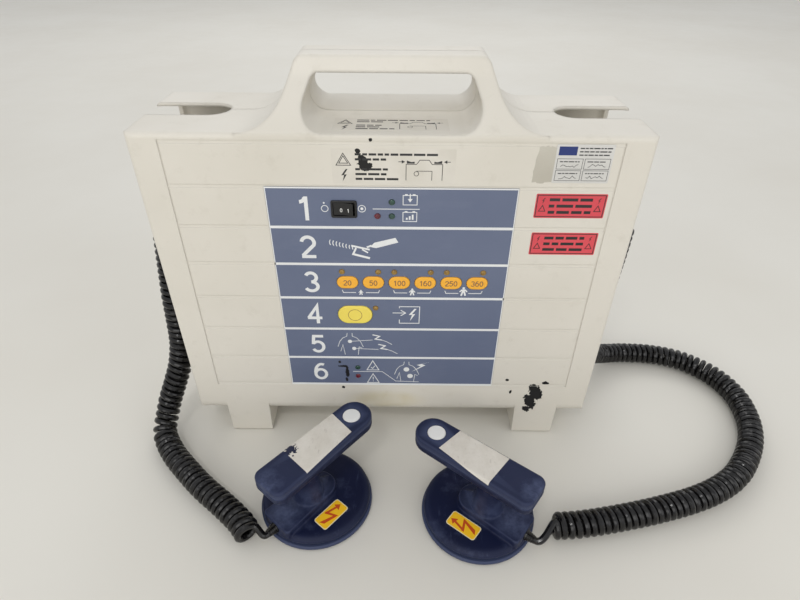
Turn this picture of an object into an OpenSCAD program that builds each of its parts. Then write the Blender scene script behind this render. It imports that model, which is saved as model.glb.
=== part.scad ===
// Portable defibrillator: a flat upright case of two half shells with a carrying handle, six rows of
// numbered controls on its front, and two hand paddles on curly cords that park in pockets at the top.
// Origin: centre of the footprint that case and paddles share on the table. +X is to the right, +Y to
// the back, +Z up. Inside the modules Y counts from the plane where the two half shells meet. All sizes
// are in millimetres.

/* [Case] */
// Width of the case
case_w = 400; // [396:1:404]
// Depth of the case, front to back
case_d = 120; // [118:1:124]
// How far the side walls lean out from each face to the parting plane
draft = 3; // [2:0.5:3.5]
// Height of the top face above the table
case_top = 325; // [322:0.5:328]
// Height of the underside above the table
case_bottom = 28; // [26:1:32]
// Wall thickness of the half shells
wall = 3; // [2.5:0.5:3]
// Width of each foot
foot_w = 44; // [36:1:50]
// Distance of each foot's middle from the case's middle
foot_x = 150; // [140:1:160]

/* [Handle] */
// Height of the handle bar's top above the table
handle_top = 371.5; // [370:0.5:374]
// Clear height under the handle bar
handle_gap = 35; // [33:1:36]
// Half width of the handle where its legs meet the top face
handle_half = 91.5; // [90:0.5:94]
// Depth of the handle bar, front to back
bar_d = 36; // [34:1:40]
// Radius that blends each leg into the top face
leg_blend = 37; // [30:1:38]

/* [Front panel] */
// Width of the printed foil
foil_w = 201; // [198:1:204]
// Height of each numbered row
row_h = 35.5; // [35:0.1:36]
// Height of the foil's top edge above the table
foil_top = 283; // [281:1:284]
// Distance between neighbouring energy keys
key_pitch = 22.8; // [22:0.1:23.5]
// Width of an energy key
key_w = 18.6; // [17:0.2:19]
// Height of an energy key
key_h = 12.4; // [11:0.2:13]
// Width of the charge key
charge_w = 31.4; // [29:0.2:32]
// Height of the charge key
charge_h = 19.6; // [18:0.2:20]
// Travel of each key
key_travel = 1; // [0.8:0.1:1]
// Diameter of each lamp
lamp_d = 5; // [4:0.5:5]

/* [Paddle pockets] */
// Width of the neck slot in the top face
slot_w = 33; // [31:0.5:34]
// Distance of the slot's closed end from the case's middle
slot_end = 134; // [130:1:138]
// Clear height of each pocket
pocket_h = 24; // [23.5:0.5:26]
// Length of each pocket from the side of the case
pocket_l = 107; // [106:1:110]

/* [Paddles] */
// Diameter of the paddle disc
disc_d = 104; // [102:0.5:105]
// Diameter of the steel electrode
electrode_d = 86; // [80:1:88]
// Height of the grip's top above the table
grip_top = 75; // [72:1:80]
// Thickness of the grip
grip_t = 15; // [14:0.5:17]
// Width of the grip at its broad end
grip_w = 35; // [32:1:36]
// Diameter of the discharge button
button_d = 16.5; // [15:0.5:18]
// Travel of the discharge button
button_travel = 2.5; // [1.5:0.5:2.5]
// Outer diameter of the curly cord
coil_d = 24; // [22:1:24]
// Diameter of the cord's wire
wire_d = 6.2; // [5.5:0.1:6.5]

/* [Hidden] */

$fn = 64;
arc_step = 9;              // degrees between the points of a rounded corner
parting_y = 75;            // the half shells meet this far behind the origin
front = -case_d / 2;       // plane of the front face
back = case_d / 2;         // plane of the rear face
side = case_w / 2;         // plane of the right side
inner_front = front + wall;
inner_back = back - wall;
bar_bottom = case_top + handle_gap;
leg_lean = 0.39;           // how far the legs lean in for each unit of height
leg_w = 16.7;              // width of each leg
front_edge_r = 4;
rear_edge_r = 12;
toe_r = 15;                // round of the case's lower edges, front and back

// Controls, in the plane of the front face
panel_x = 175.5;           // half width of the shallow inset around the controls
panel_top = foil_top + row_h + 1.3;
rows = 6;
function row_z(k) = foil_top - (k - 0.5) * row_h - 0.9;
function key_x(i) = -38.9 + i * key_pitch;
switch_x = -38.3;
switch_w = 21;
switch_h = 15;
pivot_y = front + 2.5;     // the rocker's upright pin
pivot_d = 2;
charge_x = -33.5;
lamp_front = front - 1.2;
board_front = front + 6.5;
green_at = [[0.2, row_z(1) + 6.2], [0.2, row_z(1) - 6.2], [charge_x, row_z(6) + 5.7]];
red_at = [[-11.4, row_z(1) - 6.2], [charge_x, row_z(6) - 5.7]];
amber_at = concat(
    [for (i = [0 : 5]) [key_x(i) + (i % 2 == 0 ? -4.4 : 4.4), row_z(3) + 11]],
    [[charge_x + 18.8, row_z(4) + 7.6]]);

// Pockets
plate_t = 3.3;             // the top plate over each pocket
pocket_top = case_top - plate_t;
pocket_floor = pocket_top - pocket_h;
pocket_w = disc_d + 4;
tray_t = 2.5;

// Screw posts, as [x, z]
posts = [[186, 50], [186, 280], [60, 306], [-60, 306], [-186, 280], [-186, 50]];

// Paddles: where each disc's middle stands, and which way its cord end points
left_at = [-69.7, -145.8, 0];
left_turn = 229.6;
right_at = [81.6, -157.9, 0];
right_turn = 322.1;
rim_top = 5;
dome_top = 13.5;
boss_top = 20;
neck_x = 9;
button_x = -50.5;
grip_bottom = grip_top - grip_t;
grip_split = grip_bottom + 8;
skin = 2.2;
boss_end = 49;
collar_l = 6;
collar_d = 10;
exit_z = 13;

// Cords: each curly part hangs from an elbow on the case's side and lies on the table to its paddle
gland_x = side + 16;
gland_z = 236;
coil_start_z = 222;
left_route = [
    [-216, 0, 222], [-216, 0, 212], [-216, -5, 195], [-216, -12, 172], [-216, -19, 148],
    [-216, -24, 122], [-217, -29, 96], [-221, -37, 73], [-228, -46, 53], [-234, -53, 37], [-237, -62, 24],
    [-238, -72, 15], [-233, -84, 12], [-218, -104, 12], [-198, -124, 12], [-177, -143, 12],
    [-155, -160, 12], [-135, -177, 12], [-122, -192, 12]];
right_route = [
    [216, 0, 222], [216, 0, 212], [216, 1, 190], [216, 3, 165], [216, 5, 135], [216, 8, 105], [217, 12, 78],
    [221, 19, 56], [230, 29, 38], [243, 41, 25], [262, 51, 17], [288, 57, 13], [323, 55, 12],
    [354, 43, 12], [379, 18, 12], [390, -14, 12], [387, -48, 12], [376, -77, 12],
    [358, -103, 12], [337, -124, 12], [311, -140, 12], [281, -152, 12], [242, -163, 12],
    [206, -171, 12], [171, -177, 12], [144, -179, 12]];
left_lead_route = [[-108, -191, 13], [-112, -193.5, 13], [-117, -193, 13], [-124, -189, 13]];
right_lead_route = [[128, -194, 12.5], [133, -194.5, 11.5], [139, -191, 11], [147, -184, 11]];

// ---- Outlines ----

function unit(v) = v / norm(v);

// Points of the rounded corner b between its neighbours a and c; each is [x, y, radius]
function corner(a, b, c) =
    b[2] == 0 ? [[b[0], b[1]]] :
    let (
        tip = [b[0], b[1]],
        u = unit([a[0], a[1]] - tip),
        v = unit([c[0], c[1]] - tip),
        half = acos(u * v) / 2,
        centre = tip + unit(u + v) * b[2] / sin(half),
        begin = tip + u * b[2] / tan(half) - centre,
        end = tip + v * b[2] / tan(half) - centre,
        a0 = atan2(begin[1], begin[0]),
        turn = (atan2(end[1], end[0]) - a0 + 540) % 360 - 180,
        steps = max(2, ceil(abs(turn) / arc_step))
    )
    [for (i = [0 : steps]) centre + b[2] * [cos(a0 + turn * i / steps), sin(a0 + turn * i / steps)]];

function rounded(points) =
    let (n = len(points))
    [for (i = [0 : n - 1]) each corner(points[(i + n - 1) % n], points[i], points[(i + 1) % n])];

// Adds the mirror image of a right-hand outline
function mirrored(points) =
    concat(points, [for (i = [len(points) - 1 : -1 : 0]) [-points[i][0], points[i][1], points[i][2]]]);

function box_outline(w, h, r) = rounded(mirrored([[w / 2, -h / 2, r], [w / 2, h / 2, r]]));

// ---- Extrusions along each axis ----

module along_x(points, x0 = -side - draft - 1, x1 = side + draft + 1)
    translate([x0, 0, 0]) rotate([90, 0, 90]) linear_extrude(height = x1 - x0) polygon(points);

module along_y(points, y0 = front - 1, y1 = back + 1)
    translate([0, y1, 0]) rotate([90, 0, 0]) linear_extrude(height = y1 - y0) polygon(points);

module along_z(points, z0, z1)
    translate([0, 0, z0]) linear_extrude(height = z1 - z0) polygon(points);

// A round bar along Y, from y0 to y1
module rod_y(x, z, y0, y1, d)
    translate([x, y1, z]) rotate([90, 0, 0]) cylinder(d = d, h = y1 - y0);

module box(low, high)
    translate(low) cube(high - low);

// ---- Case ----

// The case without its handle and feet, shrunk by i on every side
module body_form(i) {
    intersection() {
        along_y(rounded(mirrored([
            [side + draft - i, case_bottom + i, 8 - i], [side + draft - i, case_top - i, 5 - i]])));
        along_x(rounded([
            [front + i, case_bottom + i, toe_r - i], [back - i, case_bottom + i, toe_r - i],
            [back - i, case_top - i, rear_edge_r - i], [front + i, case_top - i, front_edge_r - i]]));
        along_z(rounded(mirrored([
            [side - i, front + i, front_edge_r - i], [side + draft - i, 0, 0],
            [side - i, back - i, rear_edge_r - i]])), case_bottom, case_top);
    }
}

// The handle and the blends of its legs, shrunk by i, with the hand opening grown by i
module handle_form(i) {
    root = case_top - 10;
    reach = handle_half + 26;
    top_half = handle_half - (handle_top - case_top) * leg_lean;
    opening_base = handle_half - leg_w + i;
    opening_top = opening_base - (bar_bottom - case_top) * leg_lean;
    difference() {
        intersection() {
            along_y(rounded(mirrored([
                [reach - i, root, 0], [reach - i, case_top - i, 0],
                [handle_half - i, case_top - i, leg_blend], [top_half - i, handle_top - i, 8 - i]])));
            along_x(rounded([
                [front + i, root, 0], [front + i, case_top, 0], [-bar_d / 2 - 7 + i, bar_bottom - 1, 20],
                [-bar_d / 2 + i, handle_top - i, 4 - i], [bar_d / 2 - i, handle_top - i, 4 - i],
                [bar_d / 2 + 7 - i, bar_bottom - 1, 20], [back - rear_edge_r - i, case_top - 2, 0],
                [back - rear_edge_r - i, root, 0]]));
        }
        along_y(rounded(mirrored([
            [opening_base, case_top - i, 15 + i], [opening_top, bar_bottom + i, 7 + i]])));
    }
}

module feet_form(i) {
    bridge = case_bottom + toe_r + 2;
    for (s = [-1, 1])
        intersection() {
            translate([s * foot_x, 0, 0])
                along_y(rounded(mirrored([[foot_w / 2 - 1 - i, i, 3], [foot_w / 2 - i, bridge, 0]])));
            along_x(rounded([
                [front + i, i, 3], [back - i, i, 3], [back - i, bridge, 0], [front + i, bridge, 0]]));
        }
}

module case_form(i) {
    body_form(i);
    handle_form(i);
    feet_form(i);
}

// Openings at both sides that lead into the pockets, and the slots that pass the paddles' necks
module pocket_openings() {
    for (s = [-1, 1])
        mirror([s < 0 ? 1 : 0, 0, 0]) {
            box([side - wall - 5, -pocket_w / 2, pocket_floor],
                [side + draft + 1, pocket_w / 2, pocket_top]);
            along_z(rounded([
                [side + draft + 2, -slot_w / 2, 0], [side + draft + 2, slot_w / 2, 0],
                [slot_end, slot_w / 2, slot_w / 2 - 0.1], [slot_end, -slot_w / 2, slot_w / 2 - 0.1]]),
                pocket_top - 5, case_top + 2);
        }
}

module half_shell(y0, y1) {
    difference() {
        intersection() {
            case_form(0);
            box([-side - draft - 1, y0, -1], [side + draft + 1, y1, handle_top + 1]);
        }
        case_form(wall);
        pocket_openings();
        for (s = [-1, 1])
            translate([s * (side + draft + 1), 0, gland_z])
                rotate([0, -90 * s, 0])
                    cylinder(d = 15.4, h = wall + 2);
    }
}

// Everything that passes through the front wall: the switch, the keys and the lamps
module control_holes() {
    gap = 0.35;
    translate([switch_x, 0, row_z(1)]) along_y(box_outline(19.4, 13.4, 1), front - 1, front + 4);
    for (i = [0 : 5])
        translate([key_x(i), 0, row_z(3)])
            along_y(box_outline(key_w + 2 * gap, key_h + 2 * gap, key_h / 2), front - 1, front + 4);
    translate([charge_x, 0, row_z(4)])
        along_y(box_outline(charge_w + 2 * gap, charge_h + 2 * gap, charge_h / 2), front - 1, front + 4);
    for (p = concat(green_at, red_at, amber_at))
        rod_y(p[0], p[1], front - 1, front + 4, lamp_d + 0.3);
}

module front_shell() {
    foil_bottom = foil_top - rows * row_h;
    color("gainsboro") difference() {
        union() {
            half_shell(front - 1, 0);
            for (p = posts) rod_y(p[0], p[1], inner_front - 0.5, 0, 9);
            for (x = [-92, 92], z = [80, 272]) rod_y(x, z, inner_front - 0.5, board_front, 6);
        }
        for (p = posts) rod_y(p[0], p[1], -25, 1, 4.2);
        control_holes();
        // Recess for the foil, and the shallow grooves that frame the rows
        box([-foil_w / 2 - 0.2, front - 1, foil_bottom - 0.2],
            [foil_w / 2 + 0.2, front + 0.5, foil_top + 0.2]);
        for (s = [-1, 1])
            box([s * panel_x - 0.5, front - 1, foil_bottom - 2],
                [s * panel_x + 0.5, front + 0.6, panel_top]);
        for (k = [-1 : rows])
            box([-panel_x, front - 1, foil_top - k * row_h - 1.4],
                [panel_x, front + 0.3, foil_top - k * row_h + 1.4]);
    }
}

module rear_shell() {
    color("gainsboro") difference() {
        union() {
            half_shell(0, back + 1);
            for (p = posts) rod_y(p[0], p[1], 0, inner_back + 0.5, 12);
            for (x = [-160, 160], z = [132, 272]) rod_y(x, z, 51.6, inner_back + 0.5, 7);
        }
        for (p = posts) {
            rod_y(p[0], p[1], -1, back, 4.4);
            rod_y(p[0], p[1], 30, back + 1, 8.6);
        }
    }
}

module case_screws() {
    color("dimgray") for (p = posts) difference() {
        union() {
            rod_y(p[0], p[1], -20, 30.5, 4);
            rod_y(p[0], p[1], 30, 33, 8);
        }
        translate([p[0], 33, p[1]]) rotate([90, 0, 0]) cylinder(d = 4.2, h = 1.6, $fn = 6);
    }
}

// ---- Front panel ----

module keypad_foil() {
    color("slategray") difference() {
        box([-foil_w / 2, front - 0.15, foil_top - rows * row_h], [foil_w / 2, front + 0.45, foil_top]);
        control_holes();
    }
}

module switch_body() {
    color("black") difference() {
        translate([switch_x, 0, row_z(1)]) union() {
            along_y(box_outline(switch_w, switch_h, 1.2), front - 1.8, front - 0.2);
            along_y(box_outline(19, 13, 0.8), front - 0.3, front + 20);
            for (x = [-5, 5]) box([x - 0.4, front + 19, -3], [x + 0.4, front + 28, 3]);
        }
        translate([switch_x, 0, row_z(1)]) along_y(box_outline(17.6, 11.4, 0.6), front - 2, front + 9);
        translate([switch_x, pivot_y, row_z(1) - 6.3]) cylinder(d = pivot_d + 0.1, h = 12.6);
    }
}

// The rocker turns about an upright pin; it rests tilted to its "off" side
module switch_rocker() {
    color([0.08, 0.08, 0.08]) translate([switch_x, pivot_y, row_z(1)]) rotate([0, 0, -7]) {
        translate([0, 0, -5.4]) linear_extrude(height = 10.8)
            polygon([[-7.9, -4.6], [0, -3.7], [7.9, -4.6], [6.8, 2.5], [-6.8, 2.5]]);
        translate([0, 0, -6.2]) cylinder(d = pivot_d, h = 12.4);
    }
}

module key_cap(x, z, w, h) {
    translate([x, 0, z]) {
        along_y(box_outline(w, h, h / 2 - 0.05), front - 1.1, inner_front + 0.2);
        along_y(box_outline(w + 2, h + 2, h / 2 + 0.9), inner_front + 0.15, inner_front + 1);
        rod_y(0, 0, inner_front + 0.9, inner_front + 1.8, 4);
    }
}

module energy_key(i) {
    color("orange") key_cap(key_x(i), row_z(3), key_w, key_h);
}

module charge_key() {
    color("gold") key_cap(charge_x, row_z(4), charge_w, charge_h);
}

module lamps(places) {
    for (p = places) translate([p[0], lamp_front + lamp_d / 2, p[1]]) rotate([-90, 0, 0]) {
        sphere(d = lamp_d);
        cylinder(d = lamp_d, h = board_front - lamp_front - lamp_d / 2);
    }
}

module green_lamps() { color("darkgreen") lamps(green_at); }
module red_lamps() { color("darkred") lamps(red_at); }
module amber_lamps() { color("darkgoldenrod") lamps(amber_at); }

// Circuit board behind the front wall, with a snap dome under each key
module keypad_board() {
    color("darkgreen") difference() {
        union() {
            box([-98, board_front, 74], [98, board_front + 1.6, 281]);
            for (i = [0 : 5]) rod_y(key_x(i), row_z(3), board_front - 0.6, board_front + 0.1, 9);
            rod_y(charge_x, row_z(4), board_front - 0.6, board_front + 0.1, 12);
            box([40, board_front + 1.5, 84], [80, board_front + 8, 96]);
        }
        box([switch_x - 10, board_front - 1, row_z(1) - 7.5],
            [switch_x + 10, board_front + 3, row_z(1) + 7.5]);
    }
}

// ---- Inside the case ----

module main_board() {
    color("seagreen") {
        box([-170, 50, 124], [170, 51.6, 285]);
        box([-150, 38, 150], [-110, 50.1, 190]);
        box([-60, 44, 180], [-10, 50.1, 215]);
        box([30, 46, 160], [60, 50.1, 190]);
        box([90, 30, 200], [140, 50.1, 250]);
        for (i = [0 : 4]) rod_y(-90 + i * 22, 250, 34, 50.1, 14);
    }
}

// Steel plate on four legs that carries the heavy high-voltage parts
module chassis_plate() {
    color("silver") {
        box([-178, -46, 112], [178, 46, 114]);
        for (x = [-174, 174], y = [-40.8, 40.8])
            translate([x, y, case_bottom + wall]) cylinder(d = 8, h = 112.1 - case_bottom - wall);
    }
}

// High-voltage capacitor lying along X on the case's floor
cap_x = 30;
cap_d = 74;
cap_l = 118;
cap_z = case_bottom + wall + 4 + cap_d / 2;
module storage_capacitor() {
    color("lightsteelblue") translate([cap_x, 0, cap_z]) rotate([0, 90, 0]) {
        cylinder(d = cap_d, h = cap_l);
        for (x = [-14, 14]) translate([x, 0, cap_l - 0.1]) cylinder(d = 8, h = 12);
    }
}

module capacitor_clamp() {
    base_z = case_bottom + wall;
    color("silver") for (x = [cap_x + 20, cap_x + 84]) difference() {
        union() {
            translate([x, 0, cap_z]) rotate([0, 90, 0]) cylinder(d = cap_d + 4, h = 14);
            box([x, -44, base_z], [x + 14, 44, base_z + 6]);
        }
        translate([x - 1, 0, cap_z]) rotate([0, 90, 0]) cylinder(d = cap_d + 0.1, h = 16);
        box([x - 1, -60, base_z - 6], [x + 15, 60, base_z]);
    }
}

module charging_transformer() {
    color("darkslategray") {
        box([-150, -30, 114], [-96, 26, 132]);
        box([-150, -30, 160], [-96, 26, 178]);
        for (x = [-150, -105]) box([x, -30, 131], [x + 9, 26, 161]);
    }
    color("peru") translate([-123, -2, 132.05]) cylinder(d = 34, h = 27.9);
}

module output_inductor() {
    color("chocolate") translate([-30, -2, 114]) difference() {
        cylinder(d = 66, h = 42);
        translate([0, 0, -1]) cylinder(d = 24, h = 44);
    }
}

module transfer_relay() {
    color("lightgray") {
        box([40, -26, 114], [100, 18, 156]);
        for (x = [50, 70, 90]) box([x - 1, -8, 155.9], [x + 1, 0, 166]);
    }
}

module battery_pack() {
    color("steelblue") for (k = [0, 1], i = [0 : 3])
        translate([-160 + i * 34, -17 + k * 34, case_bottom + wall]) cylinder(d = 33, h = 60);
    color("navy") box([-176, -33, case_bottom + wall + 58], [-42, 33, case_bottom + wall + 64]);
}

module beeper() {
    color("black") rod_y(140, 180, inner_front, inner_front + 12, 32);
}

// Floor and inner end wall of a pocket, cut to the inside of the case
module pocket_tray() {
    x0 = side - pocket_l;
    color("lightgray") difference() {
        intersection() {
            union() {
                box([x0, front, pocket_floor - tray_t], [side, back, pocket_floor]);
                box([x0, front, pocket_floor - tray_t], [x0 + tray_t, back, pocket_top]);
            }
            body_form(wall + 0.3);
        }
        translate([side - 54, 0, pocket_floor - 1]) cylinder(d = 60.2, h = 2);
    }
}

module contact_plate() {
    color("silver") translate([side - 54, 0, pocket_floor - 1]) cylinder(d = 60, h = 1.2);
}

// ---- Cords ----

function tangents(p) =
    [for (i = [0 : len(p) - 1]) unit(p[min(i + 1, len(p) - 1)] - p[max(i - 1, 0)])];

// Carries one normal along the route without twisting it
function normals(t, i, n) =
    i == len(t) ? [] : let (m = unit(n - (n * t[i]) * t[i])) concat([m], normals(t, i + 1, m));

module tube(route, d, sides) {
    t = tangents(route);
    n = normals(t, 0, [0.9, 0.1, 0.42]);
    rings = [for (i = [0 : len(route) - 1], k = [0 : sides - 1])
        route[i] + d / 2 * (cos(k * 360 / sides) * n[i] + sin(k * 360 / sides) * cross(t[i], n[i]))];
    walls = [for (i = [0 : len(route) - 2], k = [0 : sides - 1])
        let (a = i * sides + k, b = i * sides + (k + 1) % sides)
        each [[a, b + sides, b], [a, a + sides, b + sides]]];
    last = len(rings) - sides;
    caps = [[for (k = [0 : sides - 1]) k], [for (k = [sides - 1 : -1 : 0]) last + k]];
    polyhedron(rings, concat(walls, caps));
}

// Elbow in the case's side that turns the cord downwards
module gland() {
    color([0.1, 0.1, 0.1]) {
        translate([side - wall - 3, 0, gland_z])
            rotate([0, 90, 0])
                cylinder(d = 15, h = gland_x - side + wall + 3);
        translate([side + draft, 0, gland_z]) rotate([0, 90, 0]) cylinder(d = 20, h = 3);
        translate([gland_x, 0, gland_z]) sphere(d = 15);
        translate([gland_x, 0, coil_start_z]) cylinder(d1 = 9, d2 = 13.6, h = gland_z - coil_start_z - 3);
    }
}

function placed(p, at, turn) =
    at + [p[0] * cos(turn) - p[1] * sin(turn), p[0] * sin(turn) + p[1] * cos(turn), p[2]];

module lead(at, turn, route) {
    begin = [for (x = [0.2, 2]) placed([boss_end + collar_l + x, 0, exit_z], at, turn)];
    color([0.1, 0.1, 0.1]) tube(concat(begin, route), wire_d, 8);
}

module coil(route) {
    color([0.1, 0.1, 0.1]) tube(route, coil_d, 12);
}

// ---- Paddles, in their own frame: +X towards the cord, Z up from the table ----

module electrode() {
    r = electrode_d / 2;
    color("silver") rotate_extrude() polygon([[0, 0], [r - 1, 0], [r, 0.8], [r, 1.5], [0, 1.5]]);
}

screw_places = [for (a = [90, 210, 330]) [30 * cos(a), 30 * sin(a)]];

module paddle_base() {
    r = disc_d / 2;
    color("midnightblue") difference() {
        rotate_extrude() polygon([
            [0, 1.6], [electrode_d / 2 + 0.3, 1.6], [electrode_d / 2 + 0.3, 0.6], [r - 1.5, 0.6],
            [r, 2.1], [r, 3.8], [r - 1.2, rim_top], [0, rim_top]]);
        for (p = screw_places) translate([p[0], p[1], 0]) {
            cylinder(d = 3, h = 10);
            cylinder(d = 6, h = 3.4);
        }
    }
}

module base_screws() {
    color("silver") for (p = screw_places) translate([p[0], p[1], 0]) {
        translate([0, 0, 1.8]) cylinder(d = 5.6, h = 1.6);
        translate([0, 0, 3.3]) cylinder(d = 2.6, h = 6.5);
    }
}

function grip_outline(i) = rounded([
    [52 - i, -grip_w / 2 + i, 8 - i], [52 - i, grip_w / 2 - i, 8 - i],
    [-70 + i, 16.5 - i, 16 - i], [-70 + i, -16.5 + i, 16 - i]]);

// Dome, cord boss, neck and the lower half of the grip, moulded as one hollow piece
module housing() {
    r = disc_d / 2;
    color("midnightblue") difference() {
        union() {
            rotate_extrude() polygon([
                [0, rim_top], [r - 2, rim_top], [r - 2, 6.8], [r, 6.8], [r, 8], [r - 5.5, dome_top - 0.8],
                [r - 7, dome_top - 0.2], [0, dome_top]]);
            along_z(rounded([[boss_end, -17, 3], [boss_end, 17, 3], [-19, 15, 14.8], [-19, -15, 14.8]]),
                dome_top - 2, boss_top);
            translate([neck_x, 0, dome_top - 1]) cylinder(d1 = 30, d2 = 21, h = grip_bottom - dome_top + 2);
            along_z(grip_outline(0), grip_bottom, grip_split);
        }
        rotate_extrude() polygon([
            [0, rim_top - 1], [r - 5, rim_top - 1], [r - 5, 7], [r - 8, dome_top - 3], [0, dome_top - 2.6]]);
        translate([neck_x, 0, dome_top - 4]) cylinder(d = 14, h = grip_bottom);
        along_z(grip_outline(skin), grip_bottom + skin, grip_split + 1);
        box([neck_x, -4, exit_z - 5], [boss_end - 3, 4, exit_z + 4]);
        translate([boss_end - 4, 0, exit_z]) rotate([0, 90, 0]) cylinder(d = wire_d + 0.4, h = 6);
        translate([boss_end, 0, exit_z]) rotate([0, 90, 0]) cylinder(d = collar_d + 0.6, h = 6);
    }
    // Screw posts under the dome
    color("midnightblue") for (p = screw_places) translate([p[0], p[1], rim_top]) difference() {
        cylinder(d = 7, h = dome_top - 2 - rim_top);
        translate([0, 0, -1]) cylinder(d = 2.8, h = 6.4);
    }
}

module grip_cover() {
    color("midnightblue") difference() {
        along_z(grip_outline(0), grip_split, grip_top);
        along_z(grip_outline(skin), grip_split - 1, grip_top - skin);
        translate([button_x, 0, grip_split]) cylinder(d = button_d + 0.6, h = grip_t);
    }
}

module discharge_button() {
    color("white") translate([button_x, 0, 0]) {
        translate([0, 0, 71.4]) cylinder(d = 20, h = 1.1);
        translate([0, 0, 72]) cylinder(d = button_d, h = grip_top + 0.4 - 72);
        translate([0, 0, 69.2]) cylinder(d = 5, h = 2.5);
    }
}

// Return spring around the switch, drawn as the sleeve that its turns fill
module button_spring() {
    color("silver") translate([button_x, 0, grip_bottom + skin]) difference() {
        cylinder(d = 17, h = 71.4 - grip_bottom - skin);
        translate([0, 0, -1]) cylinder(d = 15.2, h = 12);
    }
}

module microswitch() {
    color("black") translate([button_x, 0, grip_bottom + skin])
        box([-6, -3, 0], [6, 3, 4.2]);
}

// Ring where the cord leaves the boss
module cord_collar() {
    color([0.1, 0.1, 0.1])
        translate([boss_end, 0, exit_z]) rotate([0, 90, 0]) cylinder(d1 = collar_d, d2 = 8, h = collar_l);
}

module on_left() { translate(left_at) rotate([0, 0, left_turn]) children(); }
module on_right() { translate(right_at) rotate([0, 0, right_turn]) children(); }
module flip() { mirror([1, 0, 0]) children(); }

// Moves a part from the case's own middle to the middle of the whole footprint
module set_down() { translate([0, parting_y, 0]) children(); }

set_down() front_shell();
set_down() rear_shell();
set_down() case_screws();
set_down() keypad_foil();
set_down() switch_body();
set_down() switch_rocker();
set_down() energy_key(0);  // key_20
set_down() energy_key(1);  // key_50
set_down() energy_key(2);  // key_100
set_down() energy_key(3);  // key_160
set_down() energy_key(4);  // key_250
set_down() energy_key(5);  // key_360
set_down() charge_key();
set_down() green_lamps();
set_down() red_lamps();
set_down() amber_lamps();
set_down() keypad_board();
set_down() main_board();
set_down() chassis_plate();
set_down() storage_capacitor();
set_down() capacitor_clamp();
set_down() charging_transformer();
set_down() output_inductor();
set_down() transfer_relay();
set_down() battery_pack();
set_down() beeper();
set_down() flip() pocket_tray();  // left_pocket_tray
set_down() pocket_tray();  // right_pocket_tray
set_down() flip() contact_plate();  // left_contact_plate
set_down() contact_plate();  // right_contact_plate
set_down() flip() gland();  // left_gland
set_down() gland();  // right_gland
set_down() coil(left_route);  // left_coil
set_down() coil(right_route);  // right_coil
set_down() lead(left_at, left_turn, left_lead_route);  // left_lead
set_down() lead(right_at, right_turn, right_lead_route);  // right_lead
set_down() on_left() electrode();  // left_electrode
set_down() on_left() paddle_base();  // left_base
set_down() on_left() housing();  // left_housing
set_down() on_left() grip_cover();  // left_grip_cover
set_down() on_left() discharge_button();  // left_button
set_down() on_left() button_spring();  // left_button_spring
set_down() on_left() microswitch();  // left_microswitch
set_down() on_left() cord_collar();  // left_cord_collar
set_down() on_left() base_screws();  // left_base_screws
set_down() on_right() electrode();  // right_electrode
set_down() on_right() paddle_base();  // right_base
set_down() on_right() housing();  // right_housing
set_down() on_right() grip_cover();  // right_grip_cover
set_down() on_right() discharge_button();  // right_button
set_down() on_right() button_spring();  // right_button_spring
set_down() on_right() microswitch();  // right_microswitch
set_down() on_right() cord_collar();  // right_cord_collar
set_down() on_right() base_screws();  // right_base_screws
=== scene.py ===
"""Looks of a portable defibrillator: moulded case, printed control panel, hand paddles on curly cords."""

import math
import random

import bmesh
import bpy
from mathutils import Matrix, Vector


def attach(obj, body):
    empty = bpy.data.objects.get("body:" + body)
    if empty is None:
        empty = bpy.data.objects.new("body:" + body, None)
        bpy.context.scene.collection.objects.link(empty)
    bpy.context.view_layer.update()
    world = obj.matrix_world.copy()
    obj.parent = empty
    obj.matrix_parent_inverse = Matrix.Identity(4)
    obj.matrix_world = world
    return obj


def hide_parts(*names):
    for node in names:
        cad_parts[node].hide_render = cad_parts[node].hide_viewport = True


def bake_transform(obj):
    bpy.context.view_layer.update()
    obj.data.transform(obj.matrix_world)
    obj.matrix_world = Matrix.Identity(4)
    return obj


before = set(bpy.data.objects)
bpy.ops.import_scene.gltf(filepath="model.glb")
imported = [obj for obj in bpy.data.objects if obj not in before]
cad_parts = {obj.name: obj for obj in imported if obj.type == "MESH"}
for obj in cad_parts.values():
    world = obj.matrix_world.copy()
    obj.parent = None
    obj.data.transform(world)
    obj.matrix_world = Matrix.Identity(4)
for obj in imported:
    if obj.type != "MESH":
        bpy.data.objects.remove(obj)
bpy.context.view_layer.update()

MM = 0.001
ARC_STEP = math.radians(10)          # between the points of a rounded corner
PARTING = Vector((0, 0.075, 0))      # the plane where the half shells meet; all places below count from it
COIL_D = 0.024           # of the curly cords, in metres
WIRE_D = 0.0062
COIL_PITCH = 0.0064
TURN_POINTS = 14         # of the wire's line, in each turn

# The rest of these are in millimetres
CASE_FACE = 60.0         # distance of the case's face in front of the parting plane
FOIL_FACE = 60.15
FOIL_TOP = 283.0
FOIL_W = 201.0
ROW = 35.5               # height of each numbered row
KEY_X = -38.9            # middle of the first energy key
KEY_PITCH = 22.8
CHARGE_X = -33.5         # middle of the charge key, and of the lamps in the last row
SWITCH_X = -38.3
GLAND_X = 216            # where the cord hangs from its gland
GLAND_Z = 236
LEFT_AT = (-69.7, -145.8, 0)
LEFT_TURN = 229.6
RIGHT_AT = (81.6, -157.9, 0)
RIGHT_TURN = 322.1
ELECTRODES = ((2.2, 3.4), (5.9, -5.4))    # on the printed torso

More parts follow.
